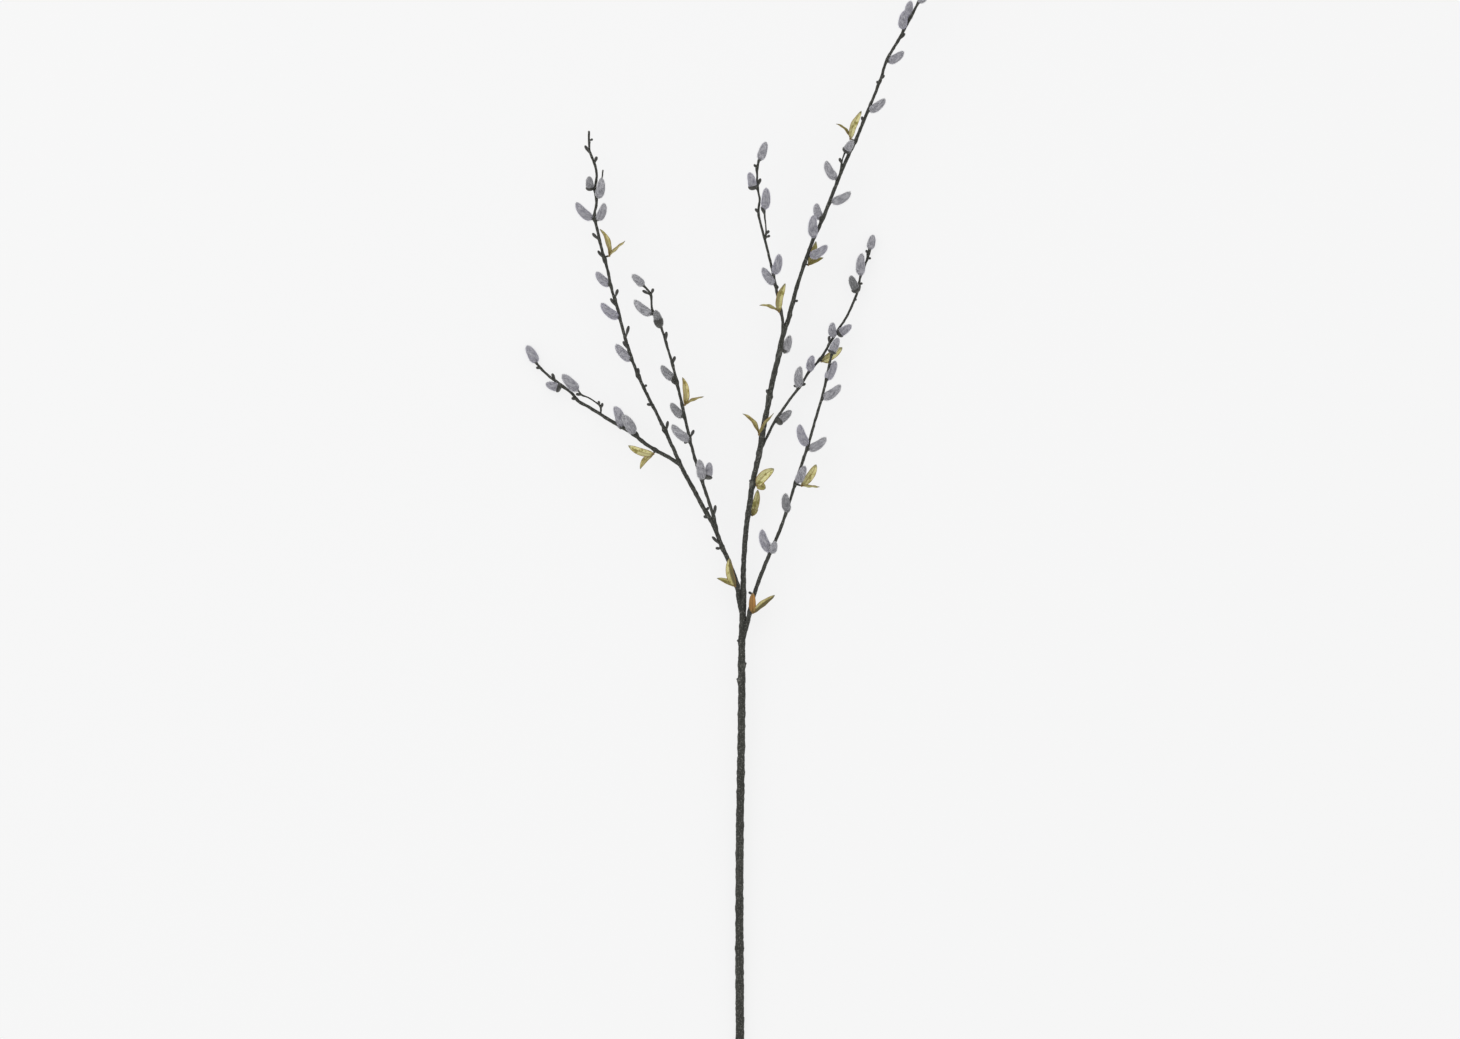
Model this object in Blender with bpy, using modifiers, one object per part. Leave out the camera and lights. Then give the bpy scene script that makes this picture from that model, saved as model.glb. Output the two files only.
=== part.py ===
"""Pussy willow twig, cut from its bush and laid down on a flat surface.

A straight tape-bound stem forks into a leader and six sprays. Each of them bears
furry catkins, small buds and pairs of narrow leaves. The origin is the middle of
the flat under the stem on which it rests, near the cut end. The tip points
towards +Y, the side that looks up is +Z, and the surface is at Z = 0.
"""
import math

import bmesh
import bpy
from mathutils import Matrix, Vector

# All sizes below are millimetres. Blender works in metres.
MM = 0.001

# Driving dimensions of the wood.
STEM_RADIUS = 3.9
STEM_AXIS_HEIGHT = 3.6
LEADER_TIP_HEIGHT = 46.0
LEVEL_LENGTH = 40.0
CLIMB_POWER = 1.2
SIDE_TWIG_RADIUS = 0.85
SIDE_TWIG_RISES = (0.12, 0.3)
NODE_SWELL = 1.22
NODE_HALF_LENGTH = 4
WOOD_STEP = 16
STEM_SIDES = 8
SPRAY_SIDES = 6
TWIG_STEP = 4
SEAT_GAP = 0.3

# Driving dimensions of the catkins.
CATKIN_RADIUS_BASE = 3.2
CATKIN_GROWTH = 0.085
CATKIN_BOW = 0.155
CATKIN_TAPER = 0.42
CATKIN_LEAN = 0.38
CATKIN_FOOT_LIFT = 1.5
CATKIN_RELIEF = 0.06
CATKIN_SIDES = 6
CATKIN_RINGS = 6
BEAN_BLUNTNESS = 3.0
CUP_GIRTH = 1.1
CUP_LENGTH = 0.22
CUP_BEHIND = 0.1
CUP_OUT = 0.12
STALK_RADIUS = 1.15
STALK_FLARE = 1.3
STALK_SINK = 2.5

# Driving dimensions of the buds and the leaves.
BUD_RADIUS = 1.6
BUD_RADIUS_LEAST = 0.95
BUD_GROWTH = 0.08
BUD_RISE = 0.3
BUD_FULLNESS = 0.7
PEG_RADIUS = 1.0
PEG_FLARE = 1.2
LEAF_THICKNESS = 0.7
LEAF_STALK_LENGTH = 1.6
LEAF_FOOT_SHARE = 0.6
LEAF_ROWS = 5
LEAF_FOLD = 0.28
LEAF_TRUE_WIDTH = 8.5
LEAF_SLENDERNESS = 0.26
LEAF_WIDEST = 0.85
LEAF_NARROW = 4.0
LEAF_BROAD = 8.0
LEAF_ARCH = 0.08
LEAF_END_HALF_WIDTH = 0.4

# A block below the surface, taken away from whatever dips under it.
SURFACE_BLOCK = (1000.0, 1600.0, 100.0)
SURFACE_MIDDLE_Y = 560.0

BARK = ("willow bark", (0.052, 0.057, 0.044, 1.0), 0.8)
SILVER = ("catkin silver", (0.30, 0.29, 0.33, 1.0), 0.9)
OLIVE = ("young leaf", (0.38, 0.33, 0.10, 1.0), 0.6)

# How much of the stem's radius is left at places along Y, on the leader and on the left leader.
STEM_TAPER = [(-20, 1.1), (150, 1.09), (190, 1.02), (290, 1.01), (440, 0.92), (500, 0.83), (540, 0.64),
              (600, 0.67), (640, 0.71), (740, 0.7), (790, 0.57), (840, 0.44), (900, 0.46), (950, 0.45),
              (1010, 0.37), (1080, 0.35), (1157, 0.24)]
LEFT_LEADER_TAPER = [(489, 0.62), (545, 0.57), (620, 0.55), (690, 0.4), (850, 0.37), (920, 0.33), (974, 0.26)]

# The radius of each thin spray at its root, its middle and its tip.
SPRAY_RADII = {
    "left_low_spray": (1.95, 1.75, 1.1),
    "left_inner_spray": (1.7, 1.5, 1.0),
    "leader_inner_spray": (1.6, 1.25, 1.0),
    "right_upper_spray": (1.4, 1.22, 1.1),
    "right_low_spray": (2.4, 1.5, 1.25),
}

# Rings, waists and steps where the tape on the stem starts and ends: place along Y and girth.
STEM_RINGS = [(99, 0.93), (119, 1.07), (157, 1.1), (165, 0.92), (198, 1.12), (251, 1.08), (280, 1.08),
              (288, 0.93), (313, 1.08), (333, 1.1), (350, 0.92), (357, 1.1), (392, 1.1), (424, 1.12),
              (440, 1.12), (512, 1.1), (561, 1.08), (602, 1.1), (655, 1.15), (690, 1.08), (714, 1.15),
              (758, 1.1), (803, 1.12)]

# Each branch: its route in plan, its side twigs, and what grows on it. A catkin is its foot,
# its tip, how it leans towards +Z, and how many lengths of dark bud scale still hold it. A leaf
# pair is its foot, its lift over the branch, and two blades. A blade is its tip, its width as
# seen from above, its bow to the left of its own direction, and its rise. A bud is its foot
# and its tip.
BRANCHES = {
    "main_stem": {
        "route": [(0, -20), (0, 66), (-0.5, 145), (-0.5, 225), (0, 285), (1, 345), (1.7, 405), (1.7, 455),
                  (3, 495), (3.6, 540), (6, 575), (9, 597), (13.3, 625), (18.5, 648), (23, 675), (27, 695),
                  (32.3, 723), (37.6, 745), (43, 770), (48.5, 786), (53.2, 805), (59, 825), (65.7, 845),
                  (73, 865), (80.5, 881), (90.3, 905), (98, 925), (106.3, 945), (116, 965), (124, 985),
                  (132.5, 1005), (140.3, 1025), (146.9, 1045), (157, 1062), (164, 1075), (174.7, 1095),
                  (184, 1115), (192.5, 1136), (199, 1157)],
        "twigs": [[(97.5, 924), (100.5, 935), (102, 944), (105, 953)]],
        "catkins": [((44.5, 753), (50, 769.5), -1.6, 0), ((70.5, 849), (87, 859.2), 1, 0),
                    ((74, 868), (74, 889.5), 1.2, 0), ((81, 886), (76.5, 901.5), -1.2, 0),
                    ((92, 903), (110.5, 912.5), 0.5, 0), ((96, 926), (86, 943.5), 0.6, 0),
                    ((105.3, 953), (113, 964.5), 1, 1), ((129.5, 994), (145, 1005.5), 0.4, 0),
                    ((148, 1043), (163.5, 1053), -0.3, 0), ((162.5, 1076), (165, 1093.5), 1.2, 0),
                    ((169, 1085), (170.5, 1103.5), -1.2, 0), ((179, 1102), (190, 1118), 0.8, 0),
                    ((190.5, 1131), (182, 1148), 0.5, 0), ((195.5, 1144), (209, 1157), -0.8, 0),
                    ((199.5, 1156), (203.5, 1176), 0.3, 0)],
        "leaves": [((11.5, 590), -5.0, [((17.8, 615.3), 7, -1, -2), ((18, 595.5), 5.5, 1, 1)]),
                   ((16, 619.5), 4.0, [((33.8, 636.2), 10, 2, 3), ((25.5, 616.5), 8, 1, 1)]),
                   ((19.5, 670), 5.0, [((3.3, 691.5), 4, -2.5, 4), ((34.3, 691), 2.6, 3, 7)]),
                   ((67.5, 840), -4.5, [((76.2, 863.4), 6, -0.5, -3), ((83.5, 847), 4.5, 1, -4)]),
                   ((111, 965), 3.5, [((121.6, 993), 6.5, 2.6, 4), ((96.4, 980.8), 2.4, -2.2, 5)])],
        "buds": [((138.5, 1018), (136.8, 1023.5)), ((141, 1023), (144, 1029.5)), ((124, 980.5), (121.8, 988)),
                 ((158, 1063), (164.7, 1071)), ((54.5, 803), (58, 804)), ((29, 708), (26.5, 715.5)),
                 ((13.5, 621), (9.5, 625)), ((1.5, 463), (-3, 465)), ((186, 1119), (189.5, 1125)),
                 ((100, 933), (103, 941)), ((101.5, 940), (99.3, 946.5)), ((2, 440), (6.6, 442)),
                 ((1, 425), (-3.6, 426))],
    },
    "left_leader": {
        "route": [(2.5, 489), (-1, 505), (-3.5, 522), (-11, 543), (-18.5, 560), (-26.5, 580), (-36.5, 597),
                  (-46, 615), (-55.5, 632), (-66, 655), (-80, 685), (-95.2, 715), (-104, 735), (-111, 755),
                  (-117, 775), (-121.8, 795), (-128, 815), (-132.3, 835), (-138, 855), (-142.5, 875),
                  (-145.4, 889), (-143.2, 902), (-144.8, 916), (-143, 930), (-146.5, 944), (-150.4, 955),
                  (-150.9, 974)],
        "twigs": [[(-144.5, 909), (-140, 919), (-137.7, 927), (-136.7, 935)]],
        "catkins": [((-149.5, 915), (-150.7, 928.5), 0.8, 1),
                    ((-141.5, 907.5), (-138.2, 926.5), 1.2, 0),
                    ((-148, 886), (-163.5, 902), 0.4, 0), ((-142, 885), (-135.5, 901.5), 0.8, 0),
                    ((-130.5, 820), (-143.5, 833), -0.8, 0),
                    ((-121.5, 787.5), (-138.5, 801.5), 0.3, 0),
                    ((-109, 745), (-124, 760.5), -0.4, 0)],
        "leaves": [((-4.5, 519), 4.0, [((-10.5, 547), 8, 2.5, 5), ((-23, 527), 5, -1, 2)]),
                   ((-131.5, 848.5), 2.5, [((-139.2, 875.5), 5, -2.5, 6), ((-114.2, 863), 2.6, 1.8, 4)])],
        "buds": [((-151, 963.5), (-147, 965.5)), ((-149.5, 948), (-155, 959)), ((-145, 940), (-143, 948)),
                 ((-141, 863), (-147.5, 871.5)), ((-135.5, 844), (-142, 854)), ((-125, 806), (-122, 815.5)),
                 ((-122.5, 796), (-129.5, 806.5)), ((-114, 766), (-111, 779)), ((-111, 753), (-117, 763.5)),
                 ((-103, 725), (-102, 737)), ((-96.5, 717), (-93, 720)), ((-88, 698), (-93, 701)),
                 ((-74, 672), (-72, 684)), ((-76, 675), (-80, 683)), ((-35, 592), (-31.5, 598)),
                 ((-31, 585.5), (-36.5, 589)), ((-19, 557), (-28, 568.5)), ((-18, 556), (-24.5, 557))],
    },
    "left_low_spray": {
        "route": [(-54.5, 631), (-60, 639.5), (-70, 647), (-83, 654), (-95, 661.5), (-105, 669.5),
                  (-115, 676.2), (-128, 683.5), (-140, 691), (-152, 698.5), (-161, 703.5), (-169, 712.5),
                  (-179, 720), (-190, 728), (-199, 736.5), (-204.5, 743)],
        "twigs": [[(-139, 691), (-139.5, 698), (-144, 702.5), (-152, 707.5), (-158, 710), (-162.5, 715.5)]],
        "catkins": [((-204, 742.5), (-213.5, 759.5), -0.2, 0), ((-180, 717), (-194.5, 721.5), -0.2, 1),
                    ((-162.5, 715), (-177.5, 730.5), 0.8, 0),
                    ((-119.5, 677), (-125.5, 698.5), -0.4, 0), ((-107, 672), (-117.5, 690), 1, 0)],
        "leaves": [((-86, 652), 1.5, [((-111.5, 659.2), 7.5, 2, 3), ((-99.8, 635.8), 5.5, -2.5, -1)])],
        "buds": [((-199, 735.5), (-204, 737.5)), ((-184, 723), (-188, 731.5)),
                 ((-162, 704.5), (-168.5, 707)), ((-99.5, 664.5), (-105, 674)),
                 ((-139, 695), (-137.2, 702)), ((-140.5, 698.5), (-141.5, 704)),
                 ((-157, 710), (-164, 711))],
    },
    "left_inner_spray": {
        "route": [(-22, 568), (-25.5, 585), (-31, 603), (-36, 618), (-41.5, 635), (-45.5, 648), (-50, 665),
                  (-54.5, 685), (-58.5, 703), (-62, 718), (-66.5, 737), (-73, 759), (-79, 778), (-85, 788),
                  (-88, 797), (-88.8, 809), (-93.5, 816), (-98, 820)],
        "twigs": [],
        "catkins": [((-96.5, 819), (-108, 830), 0.4, 0), ((-89, 790.5), (-105.5, 804.5), 0.4, 0),
                    ((-80, 778), (-84.5, 794.5), 1, 2.6), ((-66.5, 726), (-78.5, 739.5), -0.8, 0),
                    ((-57, 688.5), (-69, 702), -0.8, 0), ((-51, 665.5), (-68, 680), 0.5, 0),
                    ((-38.5, 626.5), (-41, 645.5), 1.2, 0), ((-32.5, 627), (-30.5, 643), -0.6, 1)],
        "leaves": [((-55.6, 699.8), 2.5, [((-57, 727.2), 6.5, -1.8, 5), ((-36, 707.5), 2.6, 2.5, 4)])],
        "buds": [((-89, 809), (-97.5, 814)), ((-88.7, 809), (-86.5, 816)), ((-74.5, 762), (-73.5, 773)),
                 ((-68.5, 739), (-65, 748.5)), ((-64, 717), (-68.5, 725)), ((-50, 666), (-46, 675)),
                 ((-50, 664), (-56, 662)), ((-26, 587), (-24.5, 600))],
    },
    "leader_inner_spray": {
        "route": [(42.4, 767), (42.6, 783), (39.5, 800), (36, 816), (32.5, 833), (27.3, 855), (22, 875),
                  (18.5, 891), (19.5, 905), (17.5, 917), (17, 933), (18.5, 943), (20, 947)],
        "twigs": [[(25, 864.5), (26, 874), (25, 885), (24.3, 895)], [(18.3, 913), (15.5, 916), (12.5, 917)]],
        "catkins": [((20, 944.5), (26, 962.5), 0.3, 0), ((12.5, 915.5), (9, 932), 0.5, 1),
                    ((24.8, 896), (26.2, 916.5), 0.8, 0), ((34, 831), (39, 850.5), 0.8, 0),
                    ((34.5, 821), (22.5, 837), 0.2, 0)],
        "leaves": [((39.5, 793), 2.5, [((45.5, 821), 7, 2.8, 5), ((19.7, 799.8), 3, -1.5, 3)])],
        "buds": [((18.5, 890.5), (15.2, 896)), ((25, 866), (30, 869)), ((26, 869.5), (29, 874)),
                 ((18, 917), (20.5, 926)), ((17, 936), (14, 940)), ((24.5, 888), (21.5, 898)),
                 ((34, 822), (38, 816))],
    },
    "right_upper_spray": {
        "route": [(20.5, 655), (25, 664), (34.5, 683), (49.5, 705), (59.5, 718), (69, 733), (81, 747),
                  (90, 762), (98, 775), (106.5, 788), (113, 802), (118, 815), (120, 827), (125, 840),
                  (128.5, 851), (129.8, 857)],
        "twigs": [],
        "catkins": [((129.8, 856), (133.3, 870.5), 0.3, 0), ((121, 830.5), (121.8, 851.5), 0.8, 0),
                    ((117, 814), (110.5, 829.5), 0.8, 1), ((93.5, 769), (93, 782.5), 1.4, 0),
                    ((98.5, 771), (111.5, 780), 0.8, 1), ((70.5, 734.5), (73, 749.5), 1, 0),
                    ((59.5, 718.5), (60.5, 738.5), 0.8, 0), ((37.5, 683), (51.5, 694.5), -0.5, 1)],
        "leaves": [((81, 744), -3.2, [((102.2, 757.4), 8, -0.8, 1), ((89.5, 741.3), 3, 1, -1)])],
        "buds": [((59, 717.5), (53.5, 719.5)), ((59.5, 717.5), (65.5, 721.5)), ((113.5, 804), (116.5, 806)),
                 ((119, 820.5), (122.5, 822)), ((89, 760), (89.2, 769)), ((127.5, 845.5), (131, 847)),
                 ((128.5, 850.5), (126, 855))],
    },
    "right_low_spray": {
        "route": [(2, 462), (8, 485), (12.5, 505), (19, 525), (27, 545), (33, 559), (41, 578), (50, 605),
                  (56.3, 625), (63, 645), (69.5, 665), (75.5, 686), (82, 708), (86.5, 727), (89.5, 742),
                  (92, 752)],
        "twigs": [],
        "catkins": [((91.5, 752.5), (98.2, 767.3), 0.3, 0.5), ((86.5, 725.5), (95.5, 744), -0.3, 0),
                    ((82.5, 707), (100.5, 720), -0.2, 0), ((67, 660), (59.5, 680.5), 0.5, 0),
                    ((68.5, 656), (86, 667.5), -0.3, 0), ((57.5, 623), (65, 639.3), 1, 0),
                    ((48, 594), (45.5, 611.8), 1, 0), ((30.5, 554), (22, 575.5), 0.5, 0),
                    ((32.5, 553), (35.5, 564), 1.8, 0)],
        "leaves": [((12, 492.5), 2.5, [((12.8, 512.5), 7, 0.5, 4), ((35, 509.5), 6, 1.8, 3)]),
                   ((60.5, 619.5), -2.0, [((76.2, 640.5), 8, -1.5, -3), ((79.5, 617.5), 2.4, 1, 0)])],
        "buds": [((13.5, 510), (8.5, 513)), ((62.5, 646.5), (65.5, 651))],
    },
}

# Each spray: what it grows from, the height of its tip, and how far it bows upwards on the way.
PARENTS = {
    "left_leader": ("main_stem", 36.0, 10.0),
    "left_low_spray": ("left_leader", 4.4, 3.0),
    "left_inner_spray": ("left_leader", 60.0, 6.0),
    "leader_inner_spray": ("main_stem", 54.0, 6.0),
    "right_upper_spray": ("main_stem", 4.2, 3.0),
    "right_low_spray": ("main_stem", 38.0, 6.0),
}


def value_at(rows, place):
    """The value at a place in rows of (place, value), in a straight line between rows."""
    if place <= rows[0][0]:
        return rows[0][1]
    for (low, before), (high, after) in zip(rows, rows[1:]):
        if place <= high:
            return before + (after - before) * (place - low) / (high - low)
    return rows[-1][1]


def smooth_line(points):
    """Points about a millimetre apart along a smooth curve through the given ones."""
    ends = [2 * points[0] - points[1]] + list(points) + [2 * points[-1] - points[-2]]
    line = []
    for before, start, end, after in zip(ends, ends[1:], ends[2:], ends[3:]):
        count = max(1, round((end - start).length))
        for index in range(count):
            t = index / count
            line.append(0.5 * (2 * start + (end - before) * t
                               + (2 * before - 5 * start + 4 * end - after) * t ** 2
                               + (3 * start - before - 3 * end + after) * t ** 3))
    line.append(points[-1])
    return line


def nearest(line, place):
    """The index of the point of a line that lies nearest to a place in plan."""
    return min(range(len(line)), key=lambda index: (line[index].xy - Vector(place)).length)


def direction(line, index):
    """The way a line runs at one of its points."""
    return (line[min(index + 3, len(line) - 1)] - line[max(index - 3, 0)]).normalized()


def branch_lines(name, lines):
    """The axis of a branch and those of its side twigs, as points with their heights."""
    plan = smooth_line([Vector(place) for place in BRANCHES[name]["route"]])
    axis = []
    if name == "main_stem":
        level_end = BRANCHES[name]["route"][0][1] + LEVEL_LENGTH
        run = BRANCHES[name]["route"][-1][1] - level_end
        for place in plan:
            climb = max(0.0, (place.y - level_end) / run) ** CLIMB_POWER
            height = STEM_AXIS_HEIGHT + (LEADER_TIP_HEIGHT - STEM_AXIS_HEIGHT) * climb
            axis.append(place.to_3d() + Vector((0, 0, height)))
    else:
        parent, tip_height, bow = PARENTS[name]
        parent_line = lines[parent][0]
        root_height = parent_line[nearest(parent_line, plan[0])].z
        for index, place in enumerate(plan):
            part = index / (len(plan) - 1)
            height = root_height + (tip_height - root_height) * part + bow * math.sin(math.pi * part)
            axis.append(place.to_3d() + Vector((0, 0, height)))
    result = [axis]
    for number, twig in enumerate(BRANCHES[name]["twigs"]):
        twig_plan = smooth_line([Vector(place) for place in twig])
        root = axis[nearest(axis, twig_plan[0])]
        rise = SIDE_TWIG_RISES[number % 2]
        result.append([place.to_3d() + Vector((0, 0, root.z + rise * index))
                       for index, place in enumerate(twig_plan)])
    return result


def host_of(name, lines, place):
    """The axis of a branch or side twig that a place belongs to, and the index there."""
    return min(((line, nearest(line, place)) for line in lines[name]),
               key=lambda found: (found[0][found[1]].xy - Vector(place)).length)


def own_radius(name, line, index):
    """The plain radius of a branch at one of the points of its axis."""
    if name == "main_stem":
        return STEM_RADIUS * value_at(STEM_TAPER, line[index].y)
    if name == "left_leader":
        return STEM_RADIUS * value_at(LEFT_LEADER_TAPER, line[index].y)
    root, middle, tip = SPRAY_RADII[name]
    return value_at([(0, root), (0.5, middle), (1, tip)], index / (len(line) - 1))


def add_material(finish):
    """A plain material with a piece's colour and roughness."""
    name, colour, roughness = finish
    material = bpy.data.materials.get(name)
    if material is None:
        material = bpy.data.materials.new(name)
        material.use_nodes = True
        shader = material.node_tree.nodes["Principled BSDF"]
        shader.inputs["Base Color"].default_value = colour
        shader.inputs["Roughness"].default_value = roughness
        shader.inputs["Metallic"].default_value = 0.0
    return material


def add_object(name, data, finish=BARK):
    """An object in the scene that holds a mesh or a curve, in one of the part's colours."""
    data.materials.clear()
    data.materials.append(add_material(finish))
    item = bpy.data.objects.new(name, data)
    bpy.context.scene.collection.objects.link(item)
    return item


def add_tube(name, points, radii, sides):
    """A closed mesh tube along a line of points, with a radius at each of them."""
    curve = bpy.data.curves.new(name, "CURVE")
    curve.dimensions = "3D"
    curve.bevel_depth = MM
    curve.bevel_resolution = sides // 2 - 2
    curve.use_fill_caps = True
    spline = curve.splines.new("POLY")
    spline.points.add(len(points) - 1)
    for spot, place, radius in zip(spline.points, points, radii):
        spot.co = (*(place * MM), 1.0)
        spot.radius = radius
    source = add_object(name, curve)
    evaluated = source.evaluated_get(bpy.context.evaluated_depsgraph_get())
    mesh = bpy.data.meshes.new_from_object(evaluated)
    form = bmesh.new()
    form.from_mesh(mesh)
    bmesh.ops.remove_doubles(form, verts=form.verts, dist=0.00001)
    bmesh.ops.recalc_face_normals(form, faces=form.faces)
    form.to_mesh(mesh)
    form.free()
    tube = add_object(name, mesh)
    tube.matrix_world = source.matrix_world
    bpy.data.objects.remove(source)
    return tube


def add_wood(name, lines, extra=0.0):
    """The bark tube of a branch, thick at its nodes and rings, or a wider copy of it."""
    axis = lines[name][0]
    grown = BRANCHES[name]["catkins"] + BRANCHES[name]["buds"] + BRANCHES[name]["leaves"]
    knots = []
    for item in grown:
        line, index = host_of(name, lines, item[0])
        if line is axis:
            knots.append((index, NODE_SWELL))
    if name == "main_stem":
        knots += [(nearest(axis, (0, place)), girth) for place, girth in STEM_RINGS]
    kept = [0, len(axis) - 1]
    wanted = [(index, NODE_HALF_LENGTH) for index, _ in knots]
    wanted += [(index - NODE_HALF_LENGTH, NODE_HALF_LENGTH) for index, _ in knots]
    wanted += [(index, WOOD_STEP / 2) for index in range(0, len(axis), WOOD_STEP)]
    for place, room in wanted:
        if 0 < place < len(axis) - 1 and min(abs(place - other) for other in kept) >= room:
            kept.append(place)
    kept.sort()
    radii = []
    for place in kept:
        girth = 1.0
        for index, swell in knots:
            near = max(0.0, 1 - abs(place - index) / NODE_HALF_LENGTH)
            widest = max if swell > 1 else min
            girth = widest(girth, 1 + (swell - 1) * near)
        radii.append(own_radius(name, axis, place) * girth + extra)
    sides = STEM_SIDES if name == "main_stem" else SPRAY_SIDES
    return add_tube(name + " wood", [axis[place] for place in kept], radii, sides)


def add_rod(name, start, end, radius_start, radius_end, sides=5, finish=BARK):
    """A short tapered rod with flat ends between two points."""
    form = bmesh.new()
    run = end - start
    bmesh.ops.create_cone(form, cap_ends=True, segments=sides, radius1=radius_start * MM,
                          radius2=radius_end * MM, depth=run.length * MM)
    turn = run.to_track_quat("Z", "Y").to_matrix().to_4x4()
    place = Matrix.Translation((start + end) * 0.5 * MM)
    bmesh.ops.transform(form, matrix=place @ turn, verts=form.verts)
    mesh = bpy.data.meshes.new(name)
    form.to_mesh(mesh)
    form.free()
    return add_object(name, mesh, finish)


def add_pod(name, foot, tip, radius, sides, rings, bow=Vector(), relief=0.0, fullness=0.0, finish=BARK):
    """A closed blunt bean along a bowed line from foot to tip, with tufts raised on it by relief."""
    form = bmesh.new()
    bmesh.ops.create_uvsphere(form, u_segments=sides, v_segments=rings, radius=1.0)
    run = tip - foot
    for vertex in form.verts:
        polar = math.acos(max(-1.0, min(1.0, -vertex.co.z)))
        around = math.atan2(vertex.co.y, vertex.co.x)
        part = (vertex.co.z + 1) / 2
        ring = round(polar / math.pi * rings)
        side = round(around / math.tau * sides)
        tuft = 1 + relief * (1 if (ring + side) % 2 else -1)
        swell = math.sqrt(max(0.0, 1 - abs(2 * part - 1) ** BEAN_BLUNTNESS))
        reach = radius * swell * tuft * (1 + fullness * (part - 0.5))
        heading = run + bow * 4 * (1 - 2 * part)
        turn = heading.to_track_quat("Z", "Y")
        centre = foot + run * part + bow * 4 * part * (1 - part)
        spread = turn @ Vector((math.cos(around), math.sin(around), 0)) * reach
        vertex.co = (centre + spread) * MM
    bmesh.ops.recalc_face_normals(form, faces=form.faces)
    mesh = bpy.data.meshes.new(name)
    form.to_mesh(mesh)
    form.free()
    return add_object(name, mesh, finish)


def add_catkin(name, lines, item):
    """A furry catkin with its stalk, and a bud scale round its foot where it still has one."""
    foot_place, tip_place, lean, hold = item
    line, index = host_of(name, lines, foot_place)
    spot = line[index]
    plan_run = Vector(tip_place) - Vector(foot_place)
    foot = Vector((*foot_place, spot.z + lean * CATKIN_FOOT_LIFT))
    tip = Vector((*tip_place, foot.z + lean * CATKIN_LEAN * plan_run.length))
    run = tip - foot
    along = direction(line, index)
    outward = -(along - along.project(run))
    length = run.length
    radius = CATKIN_RADIUS_BASE + CATKIN_GROWTH * length
    bow = outward * CATKIN_BOW * length
    label = name + " catkin"
    body = add_pod(label, foot, tip, radius, CATKIN_SIDES, CATKIN_RINGS, bow, CATKIN_RELIEF,
                   -CATKIN_TAPER, SILVER)
    ahead = run.normalized() * STALK_SINK + bow * 0.5
    stalk = add_rod(label + " stalk", spot, foot + ahead, STALK_RADIUS, STALK_RADIUS * STALK_FLARE)
    pieces = [body, stalk]
    if hold:
        aside = outward * CUP_OUT * radius
        back = foot - run * CUP_BEHIND + aside
        front = foot + run * CUP_LENGTH * hold + aside + bow * CUP_LENGTH
        pieces.append(add_pod(label + " cup", back, front, radius * CUP_GIRTH, CATKIN_SIDES, 4))
    return pieces


def add_bud(name, lines, item, number):
    """A small bud that stands off the bark, fuller towards its tip."""
    line, index = host_of(name, lines, item[0])
    foot = line[index]
    reach = (Vector(item[1]) - foot.xy).length
    tip = Vector((*item[1], foot.z + (BUD_RISE if number % 3 else -BUD_RISE) * reach))
    radius = min(BUD_RADIUS, BUD_RADIUS_LEAST + BUD_GROWTH * reach)
    return add_pod(name + " bud", foot, tip, radius, 5, 3, fullness=BUD_FULLNESS)


def leaf_seat(name, lines, item):
    """Where the peg of a leaf pair starts and ends on its branch, in space."""
    line, index = host_of(name, lines, item[0])
    return line[index], Vector((*item[0], line[index].z + item[1]))


def blade_girth(part, seen_width):
    """How wide a blade is along its length, from 0 to 1: blunt where broad, pointed where slender."""
    broad = max(0.0, min(1.0, (seen_width - LEAF_NARROW) / (LEAF_BROAD - LEAF_NARROW)))
    grown = part ** LEAF_WIDEST
    pointed = math.sin(math.pi * grown) ** 0.8
    blunt = (1 - abs(2 * grown - 1) ** 2.2) ** 0.6
    return pointed * (1 - broad) + blunt * broad


def add_blade(name, foot, blade):
    """One leaf blade: folded along its midrib, arched, and rolled where it is seen edge on."""
    tip_place, seen_width, bow, rise = blade
    tip = Vector((*tip_place, foot.z + rise))
    run = tip - foot
    length = run.length
    left = Vector((0, 0, 1)).cross(run).normalized()
    face = run.cross(left).normalized()
    true_width = max(seen_width, min(LEAF_TRUE_WIDTH, LEAF_SLENDERNESS * length))
    roll = math.acos(seen_width / true_width)
    across = left * math.cos(roll) + face * math.sin(roll)
    normal = face * math.cos(roll) - left * math.sin(roll)
    form = bmesh.new()
    bmesh.ops.create_grid(form, x_segments=2, y_segments=LEAF_ROWS, size=1.0)
    for vertex in form.verts:
        part = (vertex.co.y + 1) / 2
        half = max(LEAF_END_HALF_WIDTH, 0.5 * true_width * blade_girth(part, seen_width))
        middle = foot + run * part + (left * bow + face * LEAF_ARCH * length) * 4 * part * (1 - part)
        lift = LEAF_FOLD * abs(vertex.co.x) * half
        vertex.co = (middle + across * vertex.co.x * half + normal * lift) * MM
    bmesh.ops.triangulate(form, faces=form.faces)
    mesh = bpy.data.meshes.new(name)
    form.to_mesh(mesh)
    form.free()
    item = add_object(name, mesh, OLIVE)
    thick = item.modifiers.new("thickness", "SOLIDIFY")
    thick.thickness = LEAF_THICKNESS * MM
    thick.offset = 0.0
    return item


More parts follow.
